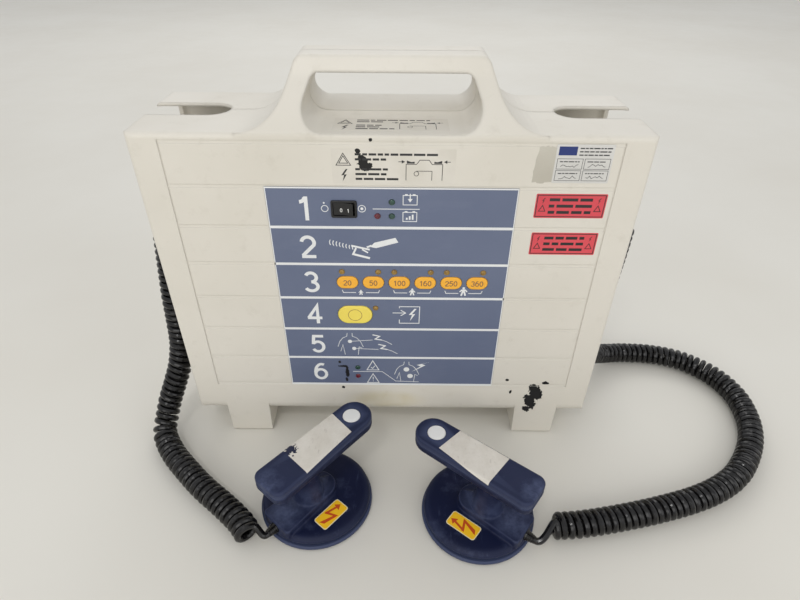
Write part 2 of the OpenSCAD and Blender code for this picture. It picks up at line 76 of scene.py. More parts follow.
# The cords' routes, as in the CAD part
LEFT_ROUTE = [
    (-216, 0, 222), (-216, 0, 212), (-216, -5, 195), (-216, -12, 172), (-216, -19, 148), (-216, -24, 122),
    (-217, -29, 96), (-221, -37, 73), (-228, -46, 53), (-234, -53, 37), (-237, -62, 24), (-238, -72, 15),
    (-233, -84, 12), (-218, -104, 12), (-198, -124, 12), (-177, -143, 12), (-155, -160, 12),
    (-135, -177, 12), (-122, -192, 12)]
RIGHT_ROUTE = [
    (216, 0, 222), (216, 0, 212), (216, 1, 190), (216, 3, 165), (216, 5, 135), (216, 8, 105), (217, 12, 78),
    (221, 19, 56), (230, 29, 38), (243, 41, 25), (262, 51, 17), (288, 57, 13), (323, 55, 12), (354, 43, 12),
    (379, 18, 12), (390, -14, 12), (387, -48, 12), (376, -77, 12), (358, -103, 12), (337, -124, 12),
    (311, -140, 12), (281, -152, 12), (242, -163, 12), (206, -171, 12), (171, -177, 12), (144, -179, 12)]


def metres(point):
    return Vector([MM * v for v in point])


# ---- Camera, light and floor ----

def make_camera():
    place = PARTING + Vector((0.00726, -0.4619, 0.46265))
    yaw, pitch, roll = (math.radians(a) for a in (0.025, 35.635, -0.524))
    forward = Vector((math.sin(yaw) * math.cos(pitch), math.cos(yaw) * math.cos(pitch), -math.sin(pitch)))
    level = Vector((math.cos(yaw), -math.sin(yaw), 0))
    upright = level.cross(forward)
    right = math.cos(roll) * level - math.sin(roll) * upright
    up = math.sin(roll) * level + math.cos(roll) * upright
    turn = Matrix((right, up, -forward)).transposed().to_4x4()
    data = bpy.data.cameras.new("camera")
    data.lens = 24.72
    data.sensor_width = 36
    data.clip_start = 0.01
    camera = bpy.data.objects.new("camera", data)
    camera.matrix_world = Matrix.Translation(place) @ turn
    bpy.context.scene.collection.objects.link(camera)
    bpy.context.scene.camera = camera


def area_light(name, place, target, size, power, colour):
    data = bpy.data.lights.new(name, "AREA")
    data.shape = "RECTANGLE"
    data.size, data.size_y = size
    data.energy = power
    data.color = colour
    light = bpy.data.objects.new(name, data)
    light.location = PARTING + Vector(place)
    light.rotation_euler = (Vector(target) - Vector(place)).to_track_quat("-Z", "Y").to_euler()
    bpy.context.scene.collection.objects.link(light)


def make_studio():
    world = bpy.data.worlds.new("studio")
    world.use_nodes = True
    world.node_tree.nodes["Background"].inputs["Color"].default_value = (0.97, 0.98, 1.0, 1)
    world.node_tree.nodes["Background"].inputs["Strength"].default_value = 0.71
    bpy.context.scene.world = world
    bpy.context.scene.view_settings.view_transform = "Standard"
    area_light("key", (-0.5, -2.0, 0.95), (0, 0, 0.12), (2.0, 1.0), 12, (1.0, 0.985, 0.96))
    area_light("fill", (1.5, -1.2, 1.0), (0, 0, 0.15), (1.2, 1.2), 4, (1.0, 0.99, 0.98))
    area_light("lamp", (-0.35, -1.1, 1.7), (0, -0.05, 0.05), (0.22, 0.22), 3.5, (1.0, 0.99, 0.98))
    area_light("back", (0, 2.2, 1.9), (0, 1.0, 0), (2.4, 1.2), 15, (1.0, 0.99, 0.97))


# ---- Materials ----

class Surface:
    """A material under construction: each method adds nodes and returns the socket that it makes."""

    def __init__(self, name):
        self.material = bpy.data.materials.new(name)
        self.material.use_nodes = True
        self.tree = self.material.node_tree
        self.shader = self.tree.nodes["Principled BSDF"]

    def node(self, kind, inputs, output=0, **settings):
        made = self.tree.nodes.new(kind)
        for key, value in settings.items():
            setattr(made, key, value)
        for key, value in inputs.items():
            self.put(made.inputs[key], value)
        return made.outputs[output]

    def put(self, socket, value):
        if isinstance(value, bpy.types.NodeSocket):
            self.tree.links.new(value, socket)
        else:
            socket.default_value = value

    def place(self):
        return self.node("ShaderNodeTexCoord", {}, output="Object")

    def noise(self, scale, detail=4, stretch=None, rough=0.55):
        where = self.place()
        if stretch:
            where = self.node("ShaderNodeVectorMath", {0: where, 1: stretch}, operation="MULTIPLY")
        inputs = {"Vector": where, "Scale": scale, "Detail": detail, "Roughness": rough}
        return self.node("ShaderNodeTexNoise", inputs)

    def span(self, value, low, high, to_low=0.0, to_high=1.0):
        return self.node("ShaderNodeMapRange", {0: value, 1: low, 2: high, 3: to_low, 4: to_high})

    def drift(self, scale, detail, low, high):
        """A value that wanders between two others, such as an uneven gloss."""
        return self.span(self.noise(scale, detail), 0.3, 0.7, low, high)

    def math(self, operation, a, b=0.0):
        return self.node("ShaderNodeMath", {0: a, 1: b}, operation=operation)

    def mix(self, share, a, b):
        made = self.tree.nodes.new("ShaderNodeMix")
        made.data_type = "RGBA"
        self.put(made.inputs["Factor"], share)
        self.put(made.inputs["A"], a if isinstance(a, bpy.types.NodeSocket) else (*a, 1))
        self.put(made.inputs["B"], b if isinstance(b, bpy.types.NodeSocket) else (*b, 1))
        return made.outputs["Result"]

    def bump(self, height, strength, distance, base=None):
        inputs = {"Height": height, "Strength": strength, "Distance": distance}
        if base is not None:
            inputs["Normal"] = base
        return self.node("ShaderNodeBump", inputs)

    def set(self, **values):
        names = {"colour": "Base Color", "rough": "Roughness", "metal": "Metallic", "normal": "Normal",
                 "coat": "Coat Weight", "coat_rough": "Coat Roughness", "specular": "Specular IOR Level"}
        for key, value in values.items():
            value = (*value, 1) if isinstance(value, tuple) else value
            self.put(self.shader.inputs[names[key]], value)
        return self.material


def moulded(name, colour, dark, rough):
    """Moulded plastic: fine grain, a little uneven in tone and gloss."""
    s = Surface(name)
    tone = s.mix(s.span(s.noise(9), 0.35, 0.7), colour, dark)
    gloss = s.drift(35, 6, rough - 0.06, rough + 0.08)
    return s.set(colour=tone, rough=gloss, normal=s.bump(s.noise(900, 2), 0.35, 0.00004))


def metal(name, colour, rough, stretch=(1, 1, 1)):
    s = Surface(name)
    lines = s.noise(500, 3, stretch)
    tone = s.mix(s.span(s.noise(40), 0.3, 0.7), colour, tuple(0.75 * c for c in colour))
    gloss = s.span(lines, 0.3, 0.7, rough - 0.08, rough + 0.1)
    return s.set(colour=tone, rough=gloss, metal=1.0, normal=s.bump(lines, 0.2, 0.00003))


# ---- Outlines and meshes, in millimetres ----

def corner_arc(before, tip, after, radius):
    """The rounded corner at tip, as points from the edge that arrives to the edge that leaves."""
    if radius < 1e-6:
        return [tip]
    u = (before - tip).normalized()
    v = (after - tip).normalized()
    half = u.angle(v) / 2
    centre = tip + (u + v).normalized() * radius / math.sin(half)
    start = tip + u * radius / math.tan(half) - centre
    end = tip + v * radius / math.tan(half) - centre
    first = math.atan2(start.y, start.x)
    turn = (math.atan2(end.y, end.x) - first + 3 * math.pi) % (2 * math.pi) - math.pi
    steps = max(2, math.ceil(abs(turn) / ARC_STEP - 0.01))
    angles = [first + turn * k / steps for k in range(steps + 1)]
    return [centre + radius * Vector((math.cos(a), math.sin(a))) for a in angles]


def rounded(corners):
    """Points around an outline whose corners are (x, y, radius)."""
    tips = [Vector(c[:2]) for c in corners]
    count = len(tips)
    points = []
    for i, corner in enumerate(corners):
        points += corner_arc(tips[i - 1], tips[i], tips[(i + 1) % count], corner[2])
    return points


def inset(corners, d):
    """The same outline, convex and anticlockwise, moved inwards by d."""
    tips = [Vector(c[:2]) for c in corners]
    moved = []
    for i, corner in enumerate(corners):
        u = (tips[i - 1] - tips[i]).normalized()
        v = (tips[(i + 1) % len(tips)] - tips[i]).normalized()
        tip = tips[i] + (u + v).normalized() * d / math.sin(u.angle(v) / 2)
        moved.append((tip.x, tip.y, max(corner[2] - d, 0.05)))
    return moved


def box_corners(width, height, radius, centre=(0, 0)):
    x, y = centre
    w, h = width / 2, height / 2
    return [(x + w, y - h, radius), (x + w, y + h, radius), (x - w, y + h, radius), (x - w, y - h, radius)]


def ring_at(corners, z):
    return [(*p, z) for p in rounded(corners)]


def rim_rings(corners, level, side, soft, steps):
    """Rings of a rounded rim, from a flat face at level out to the full outline beside it."""
    rings = []
    for k in range(steps + 1):
        a = math.pi / 2 * k / steps
        drawn_in = inset(corners, soft * (1 - math.sin(a)))
        rings.append(ring_at(drawn_in, level + side * soft * (1 - math.cos(a))))
    return rings


def slab_rings(corners, low, high, soft=0.0, steps=4):
    """Rings of a plate from low to high, its upper rim rounded if soft is given."""
    upper = rim_rings(corners, high, -1, soft, steps)[::-1] if soft else [ring_at(corners, high)]
    return [ring_at(corners, low), *upper]


def add_band(bm, a, b):
    """Skins the gap between two closed rings of vertices."""
    for i in range(len(a)):
        j = (i + 1) % len(a)
        bm.faces.new((a[i], a[j], b[j], b[i]))


def add_loft(bm, rings):
    """Skins rings of equal length and closes both ends."""
    layers = [[bm.verts.new(p) for p in ring] for ring in rings]
    for a, b in zip(layers, layers[1:]):
        add_band(bm, a, b)
    bm.faces.new(layers[0][::-1])
    bm.faces.new(layers[-1])


def add_lathe(bm, profile, segments, centre=(0, 0)):
    """Turns a closed profile of (radius, height) points about an upright line."""
    x, y = centre
    layers = []
    for k in range(segments):
        a = 2 * math.pi * k / segments
        ring = [(x + r * math.cos(a), y + r * math.sin(a), z) for r, z in profile]
        layers.append([bm.verts.new(p) for p in ring])
    count = len(profile)
    for k in range(segments):
        a, b = layers[k], layers[(k + 1) % segments]
        for i in range(count):
            j = (i + 1) % count
            if profile[i][0] > 0 or profile[j][0] > 0:
                bm.faces.new((a[i], b[i], b[j], a[j]))
    bmesh.ops.remove_doubles(bm, verts=bm.verts, dist=1e-4)


def piece(name, bm, material, body, matrix=Matrix.Identity(4), crease=32, flatten=True):
    """Makes an object of a mesh drawn in millimetres, puts it in place and lets it ride on a body."""
    bmesh.ops.recalc_face_normals(bm, faces=bm.faces)
    bm.transform(Matrix.Translation(PARTING) @ Matrix.Scale(MM, 4) @ matrix)
    mesh = bpy.data.meshes.new(name)
    bm.to_mesh(mesh)
    bm.free()
    mesh.shade_smooth()
    mesh.set_sharp_from_angle(angle=math.radians(crease))
    mesh.materials.append(material)
    obj = bpy.data.objects.new(name, mesh)
    bpy.context.scene.collection.objects.link(obj)
    if flatten:
        weighted = obj.modifiers.new("flat faces", "WEIGHTED_NORMAL")
        weighted.keep_sharp = True
    if body:
        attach(obj, body)
    return obj


def stands_for(made, slot, *nodes):
    """The piece replaces CAD nodes, which are hidden; the slot is not used."""
    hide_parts(*nodes)


def slab(name, corners, low, high, material, body, matrix):
    bm = bmesh.new()
    add_loft(bm, slab_rings(corners, low, high))
    return piece(name, bm, material, body, matrix)


def lathe(name, profile, material, body, matrix, segments):
    bm = bmesh.new()
    add_lathe(bm, profile, segments)
    return piece(name, bm, material, body, matrix)


# Drawing planes: across, up and out of the front face; and the paddles' own frames
PANEL = Matrix(((1, 0, 0, 0), (0, 0, -1, 0), (0, 1, 0, 0), (0, 0, 0, 1)))
PADDLE = {
    "left": Matrix.Translation(LEFT_AT) @ Matrix.Rotation(math.radians(LEFT_TURN), 4, "Z"),
    "right": Matrix.Translation(RIGHT_AT) @ Matrix.Rotation(math.radians(RIGHT_TURN), 4, "Z"),
}


def row_z(k):
    return FOIL_TOP - (k - 0.5) * ROW - 0.9


class Ink:
    """Printed shapes, drawn in millimetres as a thin film on a plane, from an origin that can be moved."""

    def __init__(self, base, film=0.05, origin=(0, 0)):
        self.bm = bmesh.new()
        self.base = base
        self.film = film
        self.origin = origin
        self.drawn = 0

    def at(self, x, y):
        self.origin = (x, y)

    def top(self):
        """Overlapping shapes get slightly different heights."""
        self.drawn += 1
        return self.base + self.film + 0.006 * (self.drawn % 5)

    def row(self, points, height):
        x, y = self.origin
        return [self.bm.verts.new((x + p[0], y + p[1], height)) for p in points]

    def strip(self, left, right, closed=False):
        """A band between two lines of equal length."""
        top = self.top()
        left_top, left_low, right_top, right_low = (
            self.row(side, height) for side in (left, right) for height in (top, self.base))
        skins = ((left_top, right_top), (right_top, right_low), (right_low, left_low), (left_low, left_top))
        count = len(left)
        for i in range(count if closed else count - 1):
            j = (i + 1) % count
            for a, b in skins:
                self.bm.faces.new((a[i], a[j], b[j], b[i]))
        if not closed:
            for i in (0, -1):
                self.bm.faces.new((left_top[i], left_low[i], right_low[i], right_top[i]))

    def line(self, points, width, closed=False):
        """A line with mitred corners."""
        points = [Vector(p) for p in points]
        count = len(points)
        left, right = [], []
        for i, p in enumerate(points):
            before = points[i - 1] if closed or i > 0 else 2 * p - points[1]
            after = points[(i + 1) % count] if closed or i < count - 1 else 2 * p - points[i - 1]
            a = (p - before).normalized()
            b = (after - p).normalized()
            side = Vector((-a.y - b.y, a.x + b.x)).normalized()
            reach = width / 2 / max(0.35, side.dot(Vector((-a.y, a.x))))
            left.append(p + side * reach)
            right.append(p - side * reach)
        self.strip(left, right, closed)

    def area(self, points):
        """A filled outline."""
        top = self.row(points, self.top())
        low = self.row(points, self.base)
        self.bm.faces.new(top)
        self.bm.faces.new(low[::-1])
        add_band(self.bm, low, top)

    def bar(self, x0, x1, y0, y1):
        self.area([(x0, y0), (x1, y0), (x1, y1), (x0, y1)])

    def frame(self, x0, x1, y0, y1, width):
        self.line([(x0, y0), (x1, y0), (x1, y1), (x0, y1)], width, closed=True)

    def ring(self, x, y, radius, width):
        self.line(circle(x, y, radius), width, closed=True)

    def dot(self, x, y, radius):
        self.area(circle(x, y, radius))

    def number(self, text, x, y, height, weight=0.145):
        """A number centred at x, y, its strokes weight times its height."""
        for i, digit in enumerate(text):
            at = x + (i - (len(text) - 1) / 2) * 0.69 * height
            for stroke in strokes(digit):
                self.line([(at + u * height, y + v * height) for u, v in stroke], weight * height)

    def words(self, x0, x1, y, height, rng):
        """A line of print too small to read: short bars with gaps."""
        x = x0
        while x < x1 - height:
            end = min(x1, x + rng.uniform(1.2, 4.2) * height)
            self.bar(x, end, y - height * 0.36, y + height * 0.36)
            x = end + height * 0.5

    def piece(self, name, material, body, matrix=PANEL):
        return piece(name, self.bm, material, body, matrix, flatten=False)


def circle(x, y, radius):
    return bow(x, y, radius, radius, 0, 360, 32)[:-1]


def bow(x, y, rx, ry, first, last, count=24):
    """Points along part of an ellipse, in count steps between two angles."""
    angles = [math.radians(first + (last - first) * k / count) for k in range(count + 1)]
    return [(x + rx * math.cos(a), y + ry * math.sin(a)) for a in angles]


def strokes(digit):
    """Middle lines of a plain numeral from 0 to 6, one unit tall about its centre."""
    return {
        "0": [bow(0, 0, 0.24, 0.445, 0, 360)],
        "1": [[(0.08, -0.5), (0.08, 0.5)], bow(-0.17, 0.5, 0.22, 0.22, -90, -10)],
        "2": [bow(0, 0.19, 0.25, 0.255, 170, -25) + [(-0.24, -0.40)], [(-0.28, -0.445), (0.29, -0.445)]],
        "3": [bow(-0.02, 0.225, 0.22, 0.22, 155, -90), bow(-0.02, -0.22, 0.26, 0.225, 90, -155)],
        "4": [[(0.11, -0.5), (0.11, 0.44), (-0.29, -0.2)], [(-0.33, -0.2), (0.30, -0.2)]],
        "5": [[(0.25, 0.445), (-0.17, 0.445), (-0.22, -0.02)], bow(-0.01, -0.16, 0.25, 0.285, 145, -150)],
        "6": [bow(0, -0.16, 0.25, 0.285, 0, 360), bow(0.05, -0.08, 0.30, 0.525, 68, 180)],
    }[digit]


def bolt(x, y, h):
    """A zigzag flash of height h."""
    shape = [(0.16, 0.5), (-0.2, 0.0), (0.02, 0.02), (-0.12, -0.5), (0.22, 0.08), (0.0, 0.06), (0.3, 0.5)]
    return [(x + u * h, y + v * h) for u, v in shape]


# ---- Cords, in metres ----

def through(points, step):
    """A smooth curve through the points, with a point about every step."""
    ps = [Vector(p) for p in points]
    ps = [2 * ps[0] - ps[1]] + ps + [2 * ps[-1] - ps[-2]]
    line = []
    for a, b, c, d in zip(ps, ps[1:], ps[2:], ps[3:]):
        count = max(2, round((c - b).length / step))
        m0 = (c - a) * 0.5
        m1 = (d - b) * 0.5
        for k in range(count):
            t = k / count
            line.append(b * (2 * t**3 - 3 * t**2 + 1) + m0 * (t**3 - 2 * t**2 + t)
                        + c * (3 * t**2 - 2 * t**3) + m1 * (t**3 - t**2))
    return line + [ps[-2]]


def frames(line):
    """Directions along a line with one normal carried along without twist."""
    normal = Vector((0.9, 0.1, 0.42))
    found = []
    for i, p in enumerate(line):
        tangent = (line[min(i + 1, len(line) - 1)] - line[max(i - 1, 0)]).normalized()
        normal = (normal - normal.dot(tangent) * tangent).normalized()
        found.append((tangent, normal, tangent.cross(normal)))
    return found


def add_tube(bm, line, radius, sides=10):
    """Sweeps a round section along a line in metres; radius may be a function of the share of it walked."""
    around = [2 * math.pi * k / sides for k in range(sides)]
    rings = []
    for i, (p, (_, n, b)) in enumerate(zip(line, frames(line))):
        r = radius(i / (len(line) - 1)) if callable(radius) else radius
        rings.append([(p + r * (math.cos(a) * n + math.sin(a) * b)) / MM for a in around])
    add_loft(bm, rings)


def coil_line(route, hand):
    """The wire of a curly cord along a route; where the route bends, its turns spread."""
    radius = (COIL_D - WIRE_D) / 2
    guide = through([metres(p) for p in route], 0.001)
    basis = frames(guide)
    wire, walked, turned = [], 0.0, 0.0
    for i in range(len(guide) - 1):
        step = (guide[i + 1] - guide[i]).length
        ahead = basis[min(i + 8, len(basis) - 1)][0]
        bend = (ahead - basis[max(i - 8, 0)][0]).length / (16 * step)
        rate = 2 * math.pi / (COIL_PITCH * (1 + 0.9 * radius * bend))
        parts = max(1, math.ceil(rate * step / (2 * math.pi / TURN_POINTS)))
        for k in range(parts):
            share = k / parts
            middle = guide[i].lerp(guide[i + 1], share)
            opened = min(1.0, ((walked + share * step) / 0.006) ** 0.7)
            _, n, b = basis[i]
            a = hand * (turned + rate * step * share)
            wire.append(middle + radius * opened * (math.cos(a) * n + math.sin(a) * b))
        walked += step
        turned += rate * step
    return wire


def bezier(p, t):
    return (1 - t)**3 * p[0] + 3 * t * (1 - t)**2 * p[1] + 3 * t**2 * (1 - t) * p[2] + t**3 * p[3]


def cord(side, route, hand):
    """One paddle's cord: coil from the gland to the table, then the straight lead into the paddle."""
    sign = -1 if side == "left" else 1
    mouth, inner = in_paddle(side, (58, 0, CORD_Z), (50, 0, CORD_Z))
    wire = [metres((sign * GLAND_X, 0, z)) for z in (225.5, 223.5)] + coil_line(route, hand)
    # The last turn ends close to the paddle, where the wire already heads for it, and runs on in one curve
    inward = (inner - mouth).normalized()

    def fitness(n):
        gap = mouth - wire[-n]
        heading = (wire[-n] - wire[-n - 1]).normalized()
        return heading.dot(gap.normalized()) + heading.dot(inward) - 20 * gap.length

    spare = max(range(1, 16), key=fitness)
    wire = wire[:len(wire) - spare + 1]
    leave = (wire[-1] - wire[-2]).normalized()
    reach = 0.45 * (mouth - wire[-1]).length
    bend = [wire[-1], wire[-1] + reach * leave, mouth - reach * inward, mouth]
    wire += [bezier(bend, k / 24) for k in range(1, 25)] + [mouth.lerp(inner, k / 6) for k in range(1, 7)]
    bm = bmesh.new()
    add_tube(bm, wire, WIRE_D / 2)
    made = piece(side + "_cord", bm, cord_rubber, None, flatten=False)
    stands_for(made, "cord", side + "_coil", side + "_lead")
    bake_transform(made)


def cord_material():
    s = Surface("cord rubber")
    dust = s.span(s.noise(260, 5), 0.55, 0.85, 0, 0.6)
    tone = s.mix(dust, (0.0035, 0.0032, 0.0034), (0.03, 0.027, 0.025))
    gloss = s.drift(120, 4, 0.16, 0.30)
    return s.set(colour=tone, rough=gloss, specular=0.45, normal=s.bump(s.noise(1500, 2), 0.12, 0.00003))


def in_paddle(side, *points):
    """Points of a paddle's own frame, in millimetres, as places in metres."""
    return [MM * (PADDLE[side] @ Vector(p)) for p in points]


def make_cords():
    cord("left", LEFT_ROUTE, -1)
    cord("right", RIGHT_ROUTE, 1)


# ---- Case ----

def spot(s, x, z, width, height, turn=0.0):
    """1 in the middle of an ellipse on the front, falling to 0 at its rim and below 0 outside."""
    centred = s.node("ShaderNodeVectorMath", {0: s.place(), 1: (x * MM, 0, z * MM)}, operation="SUBTRACT")
    turned = s.node("ShaderNodeMapping", {"Vector": centred, "Rotation": (0, math.radians(turn), 0)})
    squeeze = (2 / width / MM, 0, 2 / height / MM)
    scaled = s.node("ShaderNodeVectorMath", {0: turned, 1: squeeze}, operation="MULTIPLY")
    away = s.node("ShaderNodeVectorMath", {0: scaled}, output=1, operation="LENGTH")
    return s.math("SUBTRACT", 1.0, away)


def only_front(s):
    """1 on faces that look forward, from the mesh's own normal."""
    normal = s.node("ShaderNodeNewGeometry", {}, output=1)
    y = s.node("ShaderNodeSeparateXYZ", {0: normal}, output=1)
    return s.span(y, -0.5, -0.8)


def chips(s, places):
    """A mask of ragged paint chips around the named places."""
    rough = s.span(s.noise(260, 4, rough=0.6), 0.35, 0.65, -0.45, 0.45)
    found = None
    for place in places:
        one = s.math("ADD", s.math("MULTIPLY", spot(s, *place), 2.0), rough)
        found = one if found is None else s.math("MAXIMUM", found, one)
    return s.math("MULTIPLY", s.span(found, 0.16, 0.22), only_front(s))


CASE_CHIPS = [
    (-22, 303.5, 9, 13, 20), (-20, 300, 12, 8, 0), (-25.5, 312.5, 4, 5, 0), (-15.5, 321, 3, 3, 0),
    (146.5, 60, 14, 26, 24), (142.5, 47, 12, 24, 24), (155, 73, 7, 5, 0), (140, 36, 8, 10, 30),
    (116, 77, 4, 4, 0), (121, 60, 3, 6, 0), (-49, 65.3, 4, 4, 0)]
FOIL_CHIPS = [(-44, 86, 4, 15, 0), (-48, 94, 9, 3, 0), (-51, 99.5, 3, 3, 0), (-45, 76, 3, 6, 10)]


def case_material():
    """Cream painted plastic, yellowed below the panel, grubby in patches and chipped down to black."""
    s = Surface("case plastic")
    tone = s.mix(s.span(s.noise(7, 3), 0.35, 0.7), (0.71, 0.675, 0.60), (0.66, 0.625, 0.545))
    grime = s.span(s.noise(60, 6, rough=0.7), 0.56, 0.8, 0, 0.35)
    tone = s.mix(grime, tone, (0.50, 0.46, 0.38))
    below_panel = s.span(spot(s, -6, 47, 90, 30), 0.0, 0.5)
    stain = s.math("MULTIPLY", below_panel, s.span(s.noise(30), 0.3, 0.6, 0.3, 0.75))
    tone = s.mix(s.math("MULTIPLY", stain, only_front(s)), tone, (0.62, 0.55, 0.36))
    chip = chips(s, CASE_CHIPS)
    tone = s.mix(chip, tone, (0.003, 0.003, 0.003))
    gloss = s.drift(30, 5, 0.40, 0.55)
    gloss = s.math("ADD", gloss, s.math("MULTIPLY", chip, 0.35))
    grain = s.bump(s.noise(1400, 2), 0.25, 0.00003)
    worn = s.bump(chip, 1.0, 0.0002, base=grain)
    height = s.node("ShaderNodeSeparateXYZ", {0: s.place()}, output=2)
    edge = s.span(height, 0.316, 0.323, 0.0009, 0.0045)
    soft = s.node("ShaderNodeBevel", {"Radius": edge, "Normal": worn}, samples=8)
    return s.set(colour=tone, rough=gloss, normal=soft)


# ---- Front panel ----

def print_panel(white):
    """White print on the foil: row lines, numerals and simple pictures."""
    ink = Ink(FOIL_FACE)
    half = FOIL_W / 2
    for k in range(7):
        line = FOIL_TOP - k * ROW
        ink.bar(-half, half, line - 1.2, line + (1.2 if k else 0))
    for left in (-half, half - 0.8):
        ink.bar(left, left + 0.8, FOIL_TOP - 6 * ROW, FOIL_TOP)
    for k in range(1, 7):
        ink.number(str(k), -70.3, row_z(k), 21.2)
    pictures = (print_power, print_gel, print_energy, print_charge, print_shocks, print_check)
    for k, picture in enumerate(pictures, 1):
        ink.at(0, row_z(k))
        picture(ink)
    ink.piece("panel_print", white, "case")


def print_power(ink):
    """The rocker's two states, and two pictures of a battery beside the lamps."""
    ink.ring(-53.8, 0.2, 2.7, 0.6)
    ink.dot(-54.2, 5.2, 0.75)
    ink.ring(-23.9, 0.3, 2.9, 0.6)
    ink.dot(-23.9, 0.3, 1.2)
    ink.line([(-15.2, 0.2), (22.5, 0.2)], 0.6)
    for low in (4, -10.8):
        ink.frame(9.2, 20.4, low, low + 8.2, 0.6)
        for x in (10.6, 16.8):
            ink.bar(x, x + 2.2, low + 8.2, low + 9.3)
    ink.line([(14.8, 13.6), (14.8, 8)], 0.8)
    ink.area([(12.9, 9.2), (14.8, 6.2), (16.7, 9.2)])
    for k in range(3):
        ink.bar(11.6 + 2.4 * k, 13 + 2.4 * k, -9.2, 1.4 * k - 7.4)


def print_gel(ink):
    """A tube squeezed onto the face of a paddle."""
    for i in range(8):
        radius = 4.4 - 0.2 * i
        ink.line(bow(-47.6 + 2.5 * i, 4.6 - 0.7 * i, radius, radius, 145, 215, 12), 0.75)
    ink.area([(-18, 0.5), (-14.5, 4.6), (3.2, 9.4), (5.6, 5.0), (-13.2, -0.6)])
    ink.area([(-20.5, -0.6), (-21.3, 0.8), (-17.2, 2.6), (-16.4, 1.2)])
    ink.line([(-34, 1.6), (-18.5, -2.2)], 1.7)
    ink.line([(-30, -0.6), (-33, -7.4)], 1.6)
    ink.line([(-33.5, -6.4), (-18.5, -10.6)], 2.0)
    ink.line([(-25, -2.0), (-20, -5.2)], 1.3)


def print_energy(ink):
    """Brackets join the keys in pairs; a figure of growing size stands under each pair."""
    for i in range(3):
        x = -27.4 + 2 * KEY_PITCH * i
        ink.at(x, row_z(3))
        for side in (-1, 1):
            ink.line([(16.6 * side, -8.2), (15.6 * side, -10.9), (4.4 * side, -10.9)], 0.65)
        ink.at(x, row_z(3) - 13.4)
        print_figure(ink, 5.4 + 1.9 * i)


def print_figure(ink, tall):
    """A person that stands on the origin."""
    ink.dot(0, 0.88 * tall, 0.13 * tall)
    ink.area([(u * tall, v * tall) for u, v in ((-0.2, 0.74), (-0.14, 0.38), (0.14, 0.38), (0.2, 0.74))])
    for side in (-1, 1):
        for limb, width in ((((0.16, 0.7), (0.36, 0.44)), 0.12), (((0.08, 0.45), (0.2, 0)), 0.17)):
            ink.line([(side * u * tall, v * tall) for u, v in limb], width * tall)


def print_charge(ink):
    """An arrow into a box with a flash."""
    ink.line([(0.8, 2.2), (12.4, 2.2)], 0.75)
    ink.line([(8.2, 5.4), (12.8, 2.2), (8.2, -1.0)], 0.75)
    ink.line([(7.0, -5.4), (7.0, -9.6), (25.2, -9.6), (25.4, 9.4), (7.0, 9.4), (7.0, 7.6)], 0.7)
    ink.area(bolt(18.4, 0, 14))


def print_chest(ink, electrode):
    """The outline of a torso with two round electrodes."""
    for line in ([(-9.6, -3.4), (-7.4, 3.4), (-4.4, 7.6), (-0.6, 9.6), (0, 13.5)],
                 [(4.5, 13.5), (4.7, 9.7), (8.6, 7.8), (12, 3.6), (14.7, -3.4)],
                 [(-7.2, -9.1), (-4.7, -0.7), (-3, -13.2)], [(9.6, -13.2), (10.6, -3.4), (13.5, -4.7)]):
        ink.line(line, 0.5)
    for x, y in ELECTRODES:
        ink.dot(x, y, electrode)


def print_shocks(ink):
    """A torso, and a flash that runs along a line to each electrode."""
    ink.at(-42, row_z(5))
    print_chest(ink, 2.0)
    for electrode, (x, y) in zip(ELECTRODES, ((23.8, 5.3), (29.1, -6.4))):
        ink.line([electrode, (x, y)], 0.5)
        ink.line([(x, y + 6.4), (x + 6.6, y + 4.6), (x + 2.4, y + 1.2), (x + 8.8, y)], 1.1)
        ink.line([(x + 8.8, y), (x + 13, y - 1.8), (x + 18.4, y - 5.4)], 0.5)


def print_check(ink):
    """A torso with a flash, and a triangle beside each lamp."""
    ink.at(12.2, row_z(6))
    print_chest(ink, 2.8)
    ink.at(0, row_z(6))
    for low in (2.4, -14.8):
        ink.line([(-24.6, low), (-12.8, low), (-18.7, low + 12)], 0.75, closed=True)
    ink.line([(-20.6, 6.0), (-19, 4.4), (-16.8, 7.8)], 0.7)
    ink.line([(-18.7, -7.0), (-18.7, -10.6)], 0.7)
    ink.dot(-18.7, -12.6, 0.45)
    ink.line([(-38.5, 0.2), (-9.5, 0.2), (3.9, -12.4), (26.9, -13.4)], 0.55)
    ink.area([(36.7, 13.4), (24.6, 9.4), (28.4, 7.6), (19.6, 0.4), (33.0, 9.0), (29.4, 10.8)])


def foil_material():
    s = Surface("foil")
    tone = s.mix(s.span(s.noise(12, 5), 0.3, 0.7), (0.118, 0.144, 0.225), (0.135, 0.162, 0.245))
    smear = s.span(s.noise(55, 6, (0.35, 1, 1), 0.7), 0.55, 0.8, 0, 0.25)
    tone = s.mix(smear, tone, (0.20, 0.23, 0.31))
    chip = chips(s, FOIL_CHIPS)
    tone = s.mix(chip, tone, (0.012, 0.011, 0.012))
    gloss = s.drift(45, 5, 0.36, 0.5)
    return s.set(colour=tone, rough=gloss, normal=s.bump(s.noise(1800, 2), 0.2, 0.00002))


